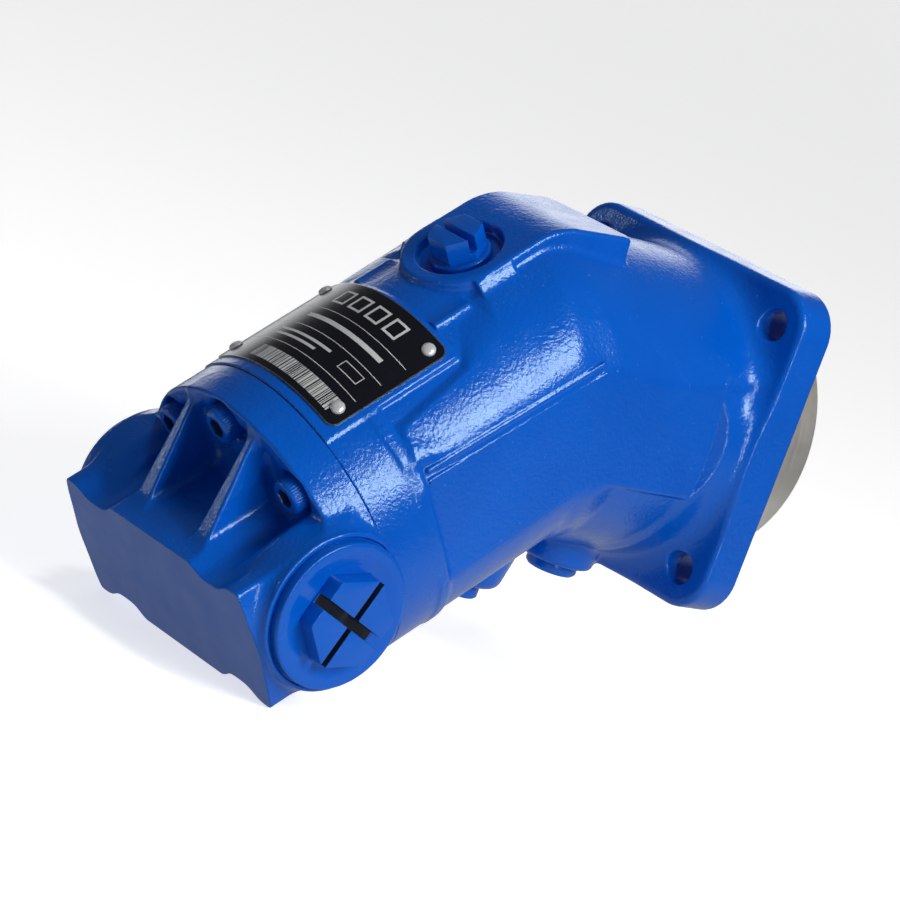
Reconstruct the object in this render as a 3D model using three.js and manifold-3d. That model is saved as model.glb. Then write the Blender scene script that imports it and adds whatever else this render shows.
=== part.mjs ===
// Bent-axis axial piston pump, 40 degree fixed displacement, seven pistons.
// Millimetres. The origin is the centre of the drive shaft's end face, +X points out of that face
// and +Z points to the convex side of the bent housing. The cylinder block turns about an axis
// that meets the shaft axis at the pivot and leans 40 degrees below it.
import * as THREE from 'three';
import { mergeVertices } from 'three/addons/utils/BufferGeometryUtils.js';
import Module from 'manifold-3d';

const wasm = await Module();
wasm.setup();

// Driving dimensions
const BEND = THREE.MathUtils.degToRad(40);
const FACE_X = -44;
const PIVOT_X = FACE_X - 66.8;
const CASE_R = 43.9;
const CASE_FLAT_Y = 40.5;
const CASE_BORE_R = 32;
const SEAM_L = 73.75;
const RING_START_L = 57;
const FLANGE_HALF = 47.5;
const FLANGE_CORNER_R = 12;
const FLANGE_T = 12.2;
const FLANGE_HOLE_AT = 36.4;
const FLANGE_HOLE_R = 4.5;
const SPIGOT_R = 40;
const SPIGOT_LEN = 19.4;
const PAD_HALF = 16.3;
const PAD_RISE = 45;
const LAND_R = 44.2;
const LAND_FROM_L = 29.5;
const LAND_HALF_DEG = 37.4;
const PAD_END_X = FACE_X - 56;
const DRAIN_L = 5;
const DRAIN_RECESS_R = 11.9;
const DRAIN_RECESS_N = 41.6;
const RIM_L = 85.7;
const END_L = 115.9;
const END_HALF_Y = 40.9;
const END_HALF_N = 19.1;
const END_SCALLOP_N = 16.6;
const PORT_L = 92.8;
const PORT_BOSS_R = 22;
const PORT_BOSS_FROM_Y = 27;
const PORT_FACE_Y = 44;
const PORT_RECESS_Y = 43.4;
const PORT_RECESS_R = 20.5;
const PORT_BORE_R = 10.2;
const PORT_PLUG_R = 20.2;
const PORT_PLUG_FACE_Y = 46.5;
const PORT_HEX_AF = 23.4;
const PORT_HEX_TURN = THREE.MathUtils.degToRad(28.3);
const SCREW_PCR = 36.5;
const SCREW_SEAT_L = 82.7;
const SCREW_ANGLES = [-45, 0, 45, 135, 180, 225];
const PISTONS = 7;
const BALL_PITCH_R = 18;
const BALL_R = 5;
const PISTON_LEN = 44;
const BORE_R = 5.75;
const BLOCK_FRONT_L = 27;
const BLOCK_R = 24.5;
const VALVE_BACK_L = 69.9;
const GAP = 0.05;
const FLAT_TOLERANCE = 0.02;

// Directions: C runs from the pivot along the cylinder axis to the port plate, N is square to it
// on the convex side.
const C = new THREE.Vector3(-Math.cos(BEND), 0, -Math.sin(BEND));
const N = new THREE.Vector3(-Math.sin(BEND), 0, Math.cos(BEND));
const X = new THREE.Vector3(1, 0, 0);
const Y = new THREE.Vector3(0, 1, 0);
const Z = new THREE.Vector3(0, 0, 1);
const PIVOT = new THREE.Vector3(PIVOT_X, 0, 0);
const BORE_PITCH_R = BALL_PITCH_R * (1 + Math.cos(BEND)) / 2;
const TAIL_SHIFT = BALL_PITCH_R * (1 - Math.cos(BEND)) / 2;
const TAIL_RISE = Math.sqrt(PISTON_LEN ** 2 - TAIL_SHIFT ** 2);

// A frame that sends local x, y, z along three given directions from a given point
function frame(x, y, z, origin) {
  return new THREE.Matrix4().makeBasis(x, y, z).setPosition(origin);
}
const SHAFT_TURN = frame(Z, X, Y, new THREE.Vector3());
const BARREL_TURN = frame(N, C, Y.clone().negate(), PIVOT);
const FLANGE_SKETCH = frame(Y, Z, X, new THREE.Vector3());
const BARREL_SKETCH = frame(Y.clone().negate(), N, C, PIVOT);

// A point of the barrel frame: distance along the cylinder axis, sideways, and up the convex side
function inBarrel(l, y, n) {
  return PIVOT.clone().addScaledVector(C, l).addScaledVector(Y, y).addScaledVector(N, n);
}

function solid(geometry) {
  const plain = geometry.clone();
  plain.deleteAttribute('normal');
  plain.deleteAttribute('uv');
  const merged = mergeVertices(plain, 1e-4);
  return new wasm.Manifold(new wasm.Mesh({
    numProp: 3,
    vertProperties: new Float32Array(merged.attributes.position.array),
    triVerts: new Uint32Array(merged.index.array),
  }));
}

function geometryOf(manifold) {
  const mesh = manifold.simplify(FLAT_TOLERANCE).getMesh();
  const geometry = new THREE.BufferGeometry();
  geometry.setAttribute('position', new THREE.BufferAttribute(new Float32Array(mesh.vertProperties), 3));
  geometry.setIndex(new THREE.BufferAttribute(new Uint32Array(mesh.triVerts), 1));
  geometry.computeVertexNormals();
  return geometry;
}

// A turned solid: pairs of radius and distance along the axis, then the frame it stands in
function turned(pairs, segments, matrix) {
  const points = pairs.map(([r, a]) => new THREE.Vector2(r, a));
  return solid(new THREE.LatheGeometry(points, segments).applyMatrix4(matrix));
}

function extruded(shape, from, to, matrix, curveSegments = 4) {
  const geometry = new THREE.ExtrudeGeometry(shape, { depth: to - from, bevelEnabled: false, curveSegments });
  geometry.translate(0, 0, from);
  return solid(geometry.applyMatrix4(matrix));
}

// A plain round bar from one point along a direction
function bar(start, direction, length, radius, segments) {
  const geometry = new THREE.CylinderGeometry(radius, radius, length, segments);
  const turn = new THREE.Quaternion().setFromUnitVectors(Y, direction.clone().normalize());
  geometry.translate(0, length / 2, 0);
  geometry.applyQuaternion(turn);
  geometry.translate(start.x, start.y, start.z);
  return solid(geometry);
}

function ball(centre, radius, around, up) {
  const geometry = new THREE.SphereGeometry(radius, around, up);
  geometry.translate(centre.x, centre.y, centre.z);
  return solid(geometry);
}

function block(sizeX, sizeY, sizeZ, matrix) {
  return solid(new THREE.BoxGeometry(sizeX, sizeY, sizeZ).applyMatrix4(matrix));
}

function polygon(points) {
  return new THREE.Shape(points.map(([x, y]) => new THREE.Vector2(x, y)));
}

function roundedSquare(half, radius) {
  const shape = new THREE.Shape();
  const inner = half - radius;
  shape.absarc(inner, inner, radius, 0, Math.PI / 2);
  shape.absarc(-inner, inner, radius, Math.PI / 2, Math.PI);
  shape.absarc(-inner, -inner, radius, Math.PI, 1.5 * Math.PI);
  shape.absarc(inner, -inner, radius, 1.5 * Math.PI, 2 * Math.PI);
  return shape;
}

function hexagon(acrossFlats, turn = 0) {
  const corner = acrossFlats / Math.sqrt(3);
  const points = [];
  for (let i = 0; i < 6; i += 1) {
    const angle = turn + i * Math.PI / 3;
    points.push([corner * Math.cos(angle), corner * Math.sin(angle)]);
  }
  return polygon(points);
}

// Housing: square flange, spigot, neck and barrel joined in a mitre at the pivot
const CASE_BODY_R = 43.5;
const BENT_SEGMENTS = 36;

// Bends a straight prism, three rings of points long, round the mitre at the pivot. Local x is the
// height on the convex side, local y runs towards the port plate and local z is sideways.
function bent(geometry, barrelLength, neckLength) {
  const mitre = N.clone().add(Z).divideScalar(1 + N.dot(Z));
  const place = geometry.attributes.position;
  const point = new THREE.Vector3();
  for (let i = 0; i < place.count; i += 1) {
    const [height, row, side] = [place.getX(i), Math.round(place.getY(i)), place.getZ(i)];
    point.copy(PIVOT).addScaledVector(Y, -side);
    if (row > 0) point.addScaledVector(C, barrelLength).addScaledVector(N, height);
    if (row < 0) point.addScaledVector(X, neckLength).addScaledVector(Z, height);
    if (row === 0) point.addScaledVector(mitre, height);
    place.setXYZ(i, point.x, point.y, point.z);
  }
  return solid(geometry);
}

function caseOutside() {
  const neckLength = FACE_X - FLANGE_T + 1 - PIVOT_X;
  const tube = new THREE.CylinderGeometry(CASE_BODY_R, CASE_BODY_R, 2, BENT_SEGMENTS, 2);
  const slab = block(300, 2 * CASE_FLAT_Y, 300, frame(X, Y, Z, PIVOT));
  const elbow = bent(tube, RING_START_L + 0.4, neckLength).intersect(slab);
  const ring = turned(
    [[0, RING_START_L], [CASE_R, RING_START_L], [CASE_R, SEAM_L - GAP], [0, SEAM_L - GAP]], 40, BARREL_TURN,
  );
  return elbow.add(ring).add(topPad()).add(plateLand());
}

// Raised flat pad on the convex side, round-ended about the upper drain plug
function topPad() {
  const depth = 20;
  const prism = new THREE.BoxGeometry(depth, 2, 2 * PAD_HALF, 1, 2, 1);
  prism.translate(PAD_RISE - depth / 2, 0, 0);
  const pad = bent(prism, DRAIN_L, PAD_END_X - PIVOT_X);
  return pad.add(bar(inBarrel(DRAIN_L, 0, PAD_RISE - depth), N, depth, PAD_HALF - 0.02, 28));
}

// Raised land under the nameplate
function plateLand() {
  const half = THREE.MathUtils.degToRad(LAND_HALF_DEG);
  return extruded(sector(36, LAND_R, half, 10), LAND_FROM_L, SEAM_L - GAP, BARREL_SKETCH);
}

function sector(inner, outer, half, steps) {
  const points = [];
  for (let i = 0; i <= steps; i += 1) {
    const angle = half - 2 * half * i / steps;
    points.push([outer * Math.sin(angle), outer * Math.cos(angle)]);
  }
  for (let i = steps; i >= 0; i -= 1) {
    const angle = half - 2 * half * i / steps;
    points.push([inner * Math.sin(angle), inner * Math.cos(angle)]);
  }
  return polygon(points);
}

// The two bosses under the bend: one for the bleed screw, one for the lower drain plug
const BLEED_X = FACE_X - 54.5;
const BLEED_BOSS_Z = -61;
const LOWER_DRAIN_X = FACE_X - 22.5;
const LOWER_BOSS_Z = -49.8;

function lowerBosses() {
  const down = Z.clone().negate();
  const bleed = turned(
    [[0, 34], [15, 34], [10, -BLEED_BOSS_Z - 1.5], [8.6, -BLEED_BOSS_Z], [0, -BLEED_BOSS_Z]], 18,
    frame(X, down, Y, new THREE.Vector3(BLEED_X, 0, 0)),
  );
  const drain = turned(
    [[0, 34], [12.5, 34], [11, -LOWER_BOSS_Z - 1], [10, -LOWER_BOSS_Z], [0, -LOWER_BOSS_Z]], 18,
    frame(X, down, Y, new THREE.Vector3(LOWER_DRAIN_X, 0, 0)),
  );
  return bleed.add(drain);
}

function flangeAndSpigot() {
  const outline = roundedSquare(FLANGE_HALF, FLANGE_CORNER_R);
  let flange = extruded(outline, FACE_X - FLANGE_T, FACE_X, FLANGE_SKETCH);
  const tip = FACE_X + SPIGOT_LEN;
  const chamfer = 1.4;
  const spigot = turned(
    [[0, FACE_X - 2], [SPIGOT_R, FACE_X - 2], [SPIGOT_R, tip - chamfer], [SPIGOT_R - chamfer, tip], [0, tip]],
    40, SHAFT_TURN,
  );
  flange = flange.add(spigot);
  for (const y of [-FLANGE_HOLE_AT, FLANGE_HOLE_AT]) {
    for (const z of [-FLANGE_HOLE_AT, FLANGE_HOLE_AT]) {
      flange = flange.subtract(bar(new THREE.Vector3(FACE_X - 20, y, z), X, 22, FLANGE_HOLE_R, 12));
    }
  }
  return flange;
}

// Stepped bores for the seal, the circlip, both bearings and the drive flange
const SEAL_BORE_R = 22.1;
const CIRCLIP_X = FACE_X - 0.2;
const FRONT_CUP_R = 27.5;
const REAR_CUP_R = 31;
const SHOULDER_X = -57.5;
const CUP_STEP_X = -77;

function shaftBores() {
  const groove = 1.3;
  const end = FACE_X + SPIGOT_LEN + 1;
  return turned([
    [0, PIVOT_X],
    [REAR_CUP_R + GAP, PIVOT_X],
    [REAR_CUP_R + GAP, CUP_STEP_X],
    [FRONT_CUP_R + GAP, CUP_STEP_X],
    [FRONT_CUP_R + GAP, SHOULDER_X],
    [SEAL_BORE_R, SHOULDER_X],
    [SEAL_BORE_R, CIRCLIP_X - 1],
    [SEAL_BORE_R + groove, CIRCLIP_X - 1],
    [SEAL_BORE_R + groove, CIRCLIP_X + 1],
    [SEAL_BORE_R, CIRCLIP_X + 1],
    [SEAL_BORE_R, end - 2.6],
    [SEAL_BORE_R + 1.6, end],
    [0, end],
  ], 28, SHAFT_TURN);
}

function makeHousing() {
  let body = caseOutside().add(lowerBosses()).add(flangeAndSpigot());
  const barrelBore = turned(
    [[0, 2], [CASE_BORE_R, 2], [CASE_BORE_R, SEAM_L + 1], [0, SEAM_L + 1]], 32, BARREL_TURN,
  );
  const kneeRoom = ball(PIVOT, REAR_CUP_R + 1.4, 18, 10);
  body = body.subtract(barrelBore).subtract(kneeRoom).subtract(shaftBores());
  const drainRecess = bar(inBarrel(DRAIN_L, 0, DRAIN_RECESS_N), N, 10, DRAIN_RECESS_R, 24);
  const drainHole = bar(inBarrel(DRAIN_L, 0, 25), N, 25, 6.2, 10);
  body = body.subtract(drainRecess).subtract(drainHole);
  body = body.subtract(bar(new THREE.Vector3(BLEED_X, 0, -65), Z, 40, 4.3, 10));
  body = body.subtract(bar(new THREE.Vector3(LOWER_DRAIN_X, 0, -52), Z, 16, 5.3, 10));
  body = body.subtract(bar(new THREE.Vector3(-107, 0, -36), X, LOWER_DRAIN_X + 107, 2.2, 6));
  body = body.subtract(portRecess(-1)).subtract(portRecess(1));
  for (const degrees of SCREW_ANGLES) {
    const [y, n] = screwPlace(degrees);
    body = body.subtract(bar(inBarrel(57.5, y, n), C, 20, 3.35, 8));
  }
  for (const [l, degrees] of RIVET_PLACES) {
    body = body.subtract(rivetBar(l, degrees, LAND_R - 3.4, 8, 1, 6));
  }
  return body;
}

function screwPlace(degrees) {
  const angle = THREE.MathUtils.degToRad(degrees);
  return [SCREW_PCR * Math.sin(angle), SCREW_PCR * Math.cos(angle)];
}

// Port plate: round flange, block with a flat end face, two side bosses, four webs
function endOutline() {
  const y = END_HALF_Y;
  const n = END_HALF_N;
  const dip = END_SCALLOP_N;
  const lower = [
    [21.4, -n], [24, -dip], [28.5, -dip], [31.4, -n], [y - 2.5, -n], [y - 1.3, 1.5 - n], [y - 0.3, -8],
  ];
  const upper = lower.map(([a, b]) => [a, -b]).reverse();
  const half = [...lower, [y, 0], ...upper];
  const other = half.map(([a, b]) => [-a, -b]);
  return polygon([...half, ...other]);
}

function kidney(from, to, side) {
  const inner = 12.6;
  const outer = 17.6;
  const sweep = THREE.MathUtils.degToRad(62);
  const points = [];
  const steps = 5;
  for (let i = 0; i <= steps; i += 1) {
    const angle = -sweep + 2 * sweep * i / steps;
    points.push([side * outer * Math.cos(angle), outer * Math.sin(angle)]);
  }
  for (let i = steps; i >= 0; i -= 1) {
    const angle = -sweep + 2 * sweep * i / steps;
    points.push([side * inner * Math.cos(angle), inner * Math.sin(angle)]);
  }
  if (side < 0) points.reverse();
  return extruded(polygon(points), from, to, BARREL_SKETCH);
}

const WEB_Y = 13.5;
const WEB_T = 4.6;
const WEB_END_L = 109.3;
const WEB_TOP_N = 38.8;

function web(y, up) {
  const sketch = frame(C, N.clone().multiplyScalar(up), Y.clone().multiplyScalar(up), inBarrel(0, y, 0));
  const foot = 10;
  const outline = polygon([
    [RIM_L - 2, foot], [WEB_END_L, foot], [WEB_END_L, END_HALF_N - 0.5],
    [RIM_L + 1, WEB_TOP_N], [RIM_L - 2, WEB_TOP_N],
  ]);
  return extruded(outline, -WEB_T / 2, WEB_T / 2, sketch);
}

const SPIGOT_IN_L = 70;
const SPIGOT_IN_R = 31.8;
const DOWEL_N = 20.4;

// The round boss behind each side port, kept behind the seam with the housing
function portBoss(side) {
  const reach = 60;
  const out = Y.clone().multiplyScalar(side);
  const start = inBarrel(PORT_L, side * PORT_BOSS_FROM_Y, 0);
  const boss = bar(start, out, PORT_FACE_Y - PORT_BOSS_FROM_Y, PORT_BOSS_R, 32);
  const middle = inBarrel(SEAM_L + reach / 2, 0, 0);
  return boss.intersect(block(2 * reach, reach, reach, frame(Y, C, N, middle)));
}

function portRecess(side) {
  const out = Y.clone().multiplyScalar(side);
  return bar(inBarrel(PORT_L, side * PORT_RECESS_Y, 0), out, 4, PORT_RECESS_R + 0.1, 32);
}

function makePortPlate() {
  const rimChamfer = 0.8;
  let body = turned([
    [0, SPIGOT_IN_L],
    [SPIGOT_IN_R - 0.2, SPIGOT_IN_L],
    [SPIGOT_IN_R - 0.2, SPIGOT_IN_L + 0.7],
    [SPIGOT_IN_R - 2, SPIGOT_IN_L + 0.7],
    [SPIGOT_IN_R - 2, SPIGOT_IN_L + 2.9],
    [SPIGOT_IN_R - 0.2, SPIGOT_IN_L + 2.9],
    [SPIGOT_IN_R - 0.2, SEAM_L],
    [CASE_R, SEAM_L],
    [CASE_R, RIM_L - rimChamfer],
    [CASE_R - rimChamfer, RIM_L],
    [0, RIM_L],
  ], 40, BARREL_TURN);
  body = body.add(extruded(endOutline(), RIM_L - 4, END_L, BARREL_SKETCH));
  body = body.add(portBoss(-1)).add(portBoss(1));
  for (const y of [-WEB_Y, WEB_Y]) {
    body = body.add(web(y, 1)).add(web(y, -1));
  }
  for (const side of [-1, 1]) {
    const out = Y.clone().multiplyScalar(side);
    body = body.subtract(portRecess(side));
    body = body.subtract(bar(inBarrel(PORT_L, side * 14, 0), out, 34, PORT_BORE_R + 0.1, 16));
    body = body.subtract(kidney(SPIGOT_IN_L - 1, PORT_L - 4, side));
  }
  for (const degrees of SCREW_ANGLES) {
    const [y, n] = screwPlace(degrees);
    body = body.subtract(bar(inBarrel(SCREW_SEAT_L, y, n), C, 8, 5.8, 12));
    body = body.subtract(bar(inBarrel(RIM_L + 1.6, y, n), C, 40, 7.6, 14));
    body = body.subtract(bar(inBarrel(70, y, n), C, 20, 3.3, 8));
  }
  body = body.subtract(bar(inBarrel(SPIGOT_IN_L - 1, 0, DOWEL_N), C, 4.5, 1.7, 8));
  return body;
}

function makeCapScrew(degrees) {
  const [y, n] = screwPlace(degrees);
  const at = frame(N, C, Y.clone().negate(), inBarrel(SCREW_SEAT_L + GAP, y, n));
  const head = turned([
    [0, -24], [3, -24], [3, 0], [5, 0], [5, 5.5], [4.5, 6], [0, 6],
  ], 14, at);
  const socketAt = frame(N, Y.clone().negate(), C.clone().negate(), inBarrel(SCREW_SEAT_L, y, n));
  return head.subtract(extruded(hexagon(5), -7, -3, socketAt));
}

// A straight slot of a given width through the sketch's centre, turned by an angle
function slotOutline(halfLength, width, turn) {
  const along = new THREE.Vector2(Math.cos(turn), Math.sin(turn)).multiplyScalar(halfLength);
  const across = new THREE.Vector2(-Math.sin(turn), Math.cos(turn)).multiplyScalar(width / 2);
  return polygon([[-1, -1], [1, -1], [1, 1], [-1, 1]].map(([a, b]) => [
    a * along.x + b * across.x,
    a * along.y + b * across.y,
  ]));
}

// Port plug: round cap with a raised hexagon cut by two crossed slots, and a plain threaded stem
function makePortPlug(side) {
  const seat = PORT_RECESS_Y + GAP;
  const face = PORT_PLUG_FACE_Y;
  const rise = 4.6;
  const out = Y.clone().multiplyScalar(side);
  const at = frame(C, out, C.clone().cross(out), inBarrel(PORT_L, 0, 0));
  const cap = turned([
    [0, 29], [9.9, 29], [9.9, seat], [PORT_PLUG_R, seat], [PORT_PLUG_R, face - 0.7],
    [PORT_PLUG_R - 0.7, face], [0, face],
  ], 28, at);
  const sketch = frame(C, out.clone().cross(C), out, inBarrel(PORT_L, 0, 0));
  const corner = -side * PORT_HEX_TURN;
  let plug = cap.add(extruded(hexagon(PORT_HEX_AF, corner), face - 1, face + rise, sketch));
  for (const [width, turn] of [[1.9, corner], [2.9, corner + Math.PI / 2]]) {
    plug = plug.subtract(extruded(slotOutline(15, width, turn), face + 0.4, face + rise + 2, sketch));
  }
  return plug;
}

function makeDrainPlug() {
  const at = frame(C, N, C.clone().cross(N), inBarrel(DRAIN_L, 0, 0));
  const collar = DRAIN_RECESS_N + GAP;
  const body = turned([
    [0, 33], [5.8, 33], [5.8, collar], [8.5, collar], [8.5, collar + 1.5], [8, collar + 2], [0, collar + 2],
  ], 16, at);
  const sketch = frame(C, N.clone().cross(C), N, inBarrel(DRAIN_L, 0, 0));
  const head = extruded(hexagon(13, Math.PI / 6), collar + 1, 50.3, sketch);
  const slot = extruded(slotOutline(9, 2.4, Math.PI / 2), 45.8, 52, sketch);
  return body.add(head).subtract(slot);
}

function makeLowerDrainPlug() {
  const at = frame(X, Z.clone().negate(), Y, new THREE.Vector3(LOWER_DRAIN_X, 0, 0));
  const seat = -LOWER_BOSS_Z + GAP;
  const body = turned([
    [0, 39], [4.9, 39], [4.9, seat], [7.5, seat], [7.5, seat + 2.6], [6.7, seat + 3.4], [0, seat + 3.4],
  ], 14, at);
  const sketch = frame(X, Y.clone().negate(), Z.clone().negate(), new THREE.Vector3(LOWER_DRAIN_X, 0, 0));
  return body.subtract(extruded(hexagon(6), seat + 0.9, seat + 5, sketch));
}

function makeBleedScrew() {
  const at = frame(X, Z.clone().negate(), Y, new THREE.Vector3(BLEED_X, 0, 0));
  const seat = -BLEED_BOSS_Z + GAP;
  const body = turned([
    [0, 50], [3.9, 50], [3.9, seat], [4.8, seat], [4.8, seat + 2.4], [4.2, seat + 3], [0, seat + 3],
  ], 12, at);
  const sketch = frame(X, Y.clone().negate(), Z.clone().negate(), new THREE.Vector3(BLEED_X, 0, 0));
  return body.subtract(extruded(hexagon(4), seat + 0.8, seat + 5, sketch));
}

// Nameplate bent round the barrel, with four dome rivets
const PLATE_T = 0.5;
const PLATE_GAP = 0.12;
const PLATE_FROM_L = 31;
const PLATE_TO_L = 70.4;
const PLATE_HALF_DEG = 35;
const RIVET_DEG = 30;
const RIVET_PLACES = [[35, -RIVET_DEG], [65.2, -RIVET_DEG], [35, RIVET_DEG], [65.2, RIVET_DEG]];

function makeNameplate() {
  const inner = LAND_R + PLATE_GAP;
  const half = THREE.MathUtils.degToRad(PLATE_HALF_DEG);
  let plate = extruded(sector(inner, inner + PLATE_T, half, 10), PLATE_FROM_L, PLATE_TO_L, BARREL_SKETCH);
  for (const [l, degrees] of RIVET_PLACES) {
    plate = plate.subtract(rivetBar(l, degrees, LAND_R - 2, 6, 1, 6));
  }
  return plate;
}

function rivetFrame(l, degrees) {
  const angle = THREE.MathUtils.degToRad(degrees);
  const out = N.clone().multiplyScalar(Math.cos(angle)).addScaledVector(Y, Math.sin(angle));
  return { out, at: frame(C, out, C.clone().cross(out), inBarrel(l, 0, 0)) };
}

function rivetBar(l, degrees, from, length, radius, segments) {
  const { out } = rivetFrame(l, degrees);
  return bar(inBarrel(l, 0, 0).addScaledVector(out, from), out, length, radius, segments);
}

function makeRivet(l, degrees) {
  const { at } = rivetFrame(l, degrees);
  const seat = LAND_R + PLATE_T + PLATE_GAP + GAP;
  return turned([
    [0, LAND_R - 3], [0.8, LAND_R - 3], [0.8, seat], [2.1, seat], [1.9, seat + 0.6], [1.2, seat + 1.1],
    [0, seat + 1.3],
  ], 8, at);
}

// Shaft with its splined end, bearing seats and the drive flange that holds the ball sockets
const SOCKET_FACE_X = PIVOT_X + 1.5;
const DRIVE_FLANGE_R = 25;
const SPLINE_TEETH = 18;
const SPLINE_FROM_X = -31.5;
const JOURNAL_R = 13.9;
const FRONT_SEAT_R = 15;
const REAR_SEAT_R = 17.5;

function splineOutline() {
  const points = [];
  const pitch = 2 * Math.PI / SPLINE_TEETH;
  for (let i = 0; i < SPLINE_TEETH; i += 1) {
    const middle = i * pitch;
    points.push([11.1, middle - 0.36 * pitch], [12.4, middle - 0.17 * pitch]);
    points.push([12.4, middle + 0.17 * pitch], [11.1, middle + 0.36 * pitch]);
  }
  return polygon(points.map(([r, a]) => [r * Math.cos(a), r * Math.sin(a)]));
}

function ballCentre(k) {
  const angle = 2 * Math.PI * k / PISTONS;
  return new THREE.Vector3(PIVOT_X, -BALL_PITCH_R * Math.sin(angle), BALL_PITCH_R * Math.cos(angle));
}

function makeShaft() {
  let shaft = turned([
    [0, SOCKET_FACE_X],
    [DRIVE_FLANGE_R, SOCKET_FACE_X],
    [DRIVE_FLANGE_R, -99],
    [DRIVE_FLANGE_R - 1, -98],
    [20.5, -98],
    [20.5, -96.3],
    [REAR_SEAT_R, -96.3],
    [REAR_SEAT_R, -77],
    [FRONT_SEAT_R, -77],
    [FRONT_SEAT_R, -56],
    [JOURNAL_R, -55.4],
    [JOURNAL_R, SPLINE_FROM_X - 1],
    [JOURNAL_R - 1.6, SPLINE_FROM_X],
    [0, SPLINE_FROM_X],
  ], 28, SHAFT_TURN);
  const spline = extruded(splineOutline(), SPLINE_FROM_X - 2, 0, FLANGE_SKETCH);
  const tip = turned([[0, -40], [18, -40], [18, -5.4], [11.4, 0], [0, 0]], 24, SHAFT_TURN);
  shaft = shaft.add(spline.intersect(tip));
  for (let k = 0; k < PISTONS; k += 1) {
    shaft = shaft.subtract(ball(ballCentre(k), BALL_R + 0.6, 10, 6));
  }
  return shaft.subtract(ball(PIVOT, CENTRE_BALL_R + 0.6, 10, 6));
}

function makeRetainingPlate() {
  const outer = DRIVE_FLANGE_R - 0.5;
  const from = PIVOT_X - 1.3;
  const to = SOCKET_FACE_X - GAP;
  let plate = turned([[0, from], [outer, from], [outer, to], [0, to]], 28, SHAFT_TURN);
  for (let k = 0; k < PISTONS; k += 1) {
    plate = plate.subtract(bar(ballCentre(k).addScaledVector(X, -4), X, 8, BALL_R + 0.3, 12));
  }
  return plate.subtract(bar(PIVOT.clone().addScaledVector(X, -4), X, 8, CENTRE_BALL_R + 0.3, 12));
}

// Tapered roller bearings
const REAR_BEARING = {
  from: -96, to: -78, seat: REAR_SEAT_R, cup: REAR_CUP_R, cone: 22.4, track: 26.6, lean: 2, count: 13,
};
const FRONT_BEARING = {
  from: -75.6, to: -58, seat: FRONT_SEAT_R, cup: FRONT_CUP_R, cone: 19.2, track: 23.4, lean: -2, count: 12,
};

function makeCup(b) {
  const first = b.track + Math.max(b.lean, 0);
  const last = b.track + Math.max(-b.lean, 0);
  const from = b.from + 2.4;
  const to = b.to - 0.2;
  return turned([[first, from], [b.cup, from], [b.cup, to], [last, to], [first, from]], 28, SHAFT_TURN);
}

function makeCone(b) {
  const first = b.cone + Math.max(b.lean, 0) - 0.2;
  const last = b.cone + Math.max(-b.lean, 0) - 0.2;
  const seat = b.seat + GAP;
  const section = [[seat, b.from], [first, b.from], [last, b.to], [seat, b.to], [seat, b.from]];
  return turned(section, 28, SHAFT_TURN);
}

// Cage and rollers as one piece: a lobed sleeve that follows the taper of the race
function makeRollerSet(b) {
  const from = b.from + 3;
  const to = b.to - 1;
  const middle = (b.cone + b.track) / 2;
  const rollerR = 1.55;
  const cageHalf = 0.8;
  const lobe = [-0.34, -0.2, 0, 0.2, 0.34];
  const rise = [cageHalf, 1.3, rollerR, 1.3, cageHalf];
  const outer = [];
  const inner = [];
  for (let i = 0; i < b.count; i += 1) {
    lobe.forEach((share, j) => {
      const angle = 2 * Math.PI * (i + share * 0.66) / b.count;
      outer.push([(middle + rise[j]) * Math.cos(angle), (middle + rise[j]) * Math.sin(angle)]);
      inner.push([(middle - rise[j]) * Math.cos(angle), (middle - rise[j]) * Math.sin(angle)]);
    });
  }
  const shape = polygon(outer);
  shape.holes.push(polygon(inner));
  const geometry = new THREE.ExtrudeGeometry(shape, { depth: to - from, bevelEnabled: false });
  const place = geometry.attributes.position;
  for (let i = 0; i < place.count; i += 1) {
    const along = (from - b.from + place.getZ(i)) / (b.to - b.from);
    const spread = b.lean > 0 ? b.lean * (1 - along) : -b.lean * along;
    const grow = (middle + spread) / middle;
    place.setXYZ(i, place.getX(i) * grow, place.getY(i) * grow, place.getZ(i) + from);
  }
  return solid(geometry.applyMatrix4(FLANGE_SKETCH));
}

// Shaft seal and the circlip that keeps it in
function makeShaftSeal() {
  const outer = SEAL_BORE_R - GAP;
  const lip = JOURNAL_R + 0.15;
  return turned([
    [lip, -49.6], [lip + 0.5, -52], [lip + 2.2, -53.4], [outer - 1, -54], [outer, -53.2],
    [outer, -46.4], [outer - 1.2, -46.4], [outer - 1.2, -52], [lip + 3, -51.6], [lip + 1.2, -48.6],
    [lip, -49.6],
  ], 28, SHAFT_TURN);
}

function makeCirclip() {
  const outer = SEAL_BORE_R + 1.1;
  const inner = SEAL_BORE_R - 2.4;
  const open = 0.22;
  const points = [];
  const steps = 20;
  for (let i = 0; i <= steps; i += 1) {
    const angle = open + (2 * Math.PI - 2 * open) * i / steps;
    points.push([outer * Math.cos(angle), outer * Math.sin(angle)]);
  }
  for (let i = steps; i >= 0; i -= 1) {
    const angle = open + (2 * Math.PI - 2 * open) * i / steps;
    points.push([inner * Math.cos(angle), inner * Math.sin(angle)]);
  }
  return extruded(polygon(points), CIRCLIP_X - 0.8, CIRCLIP_X + 0.8, FLANGE_SKETCH);
}

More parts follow.
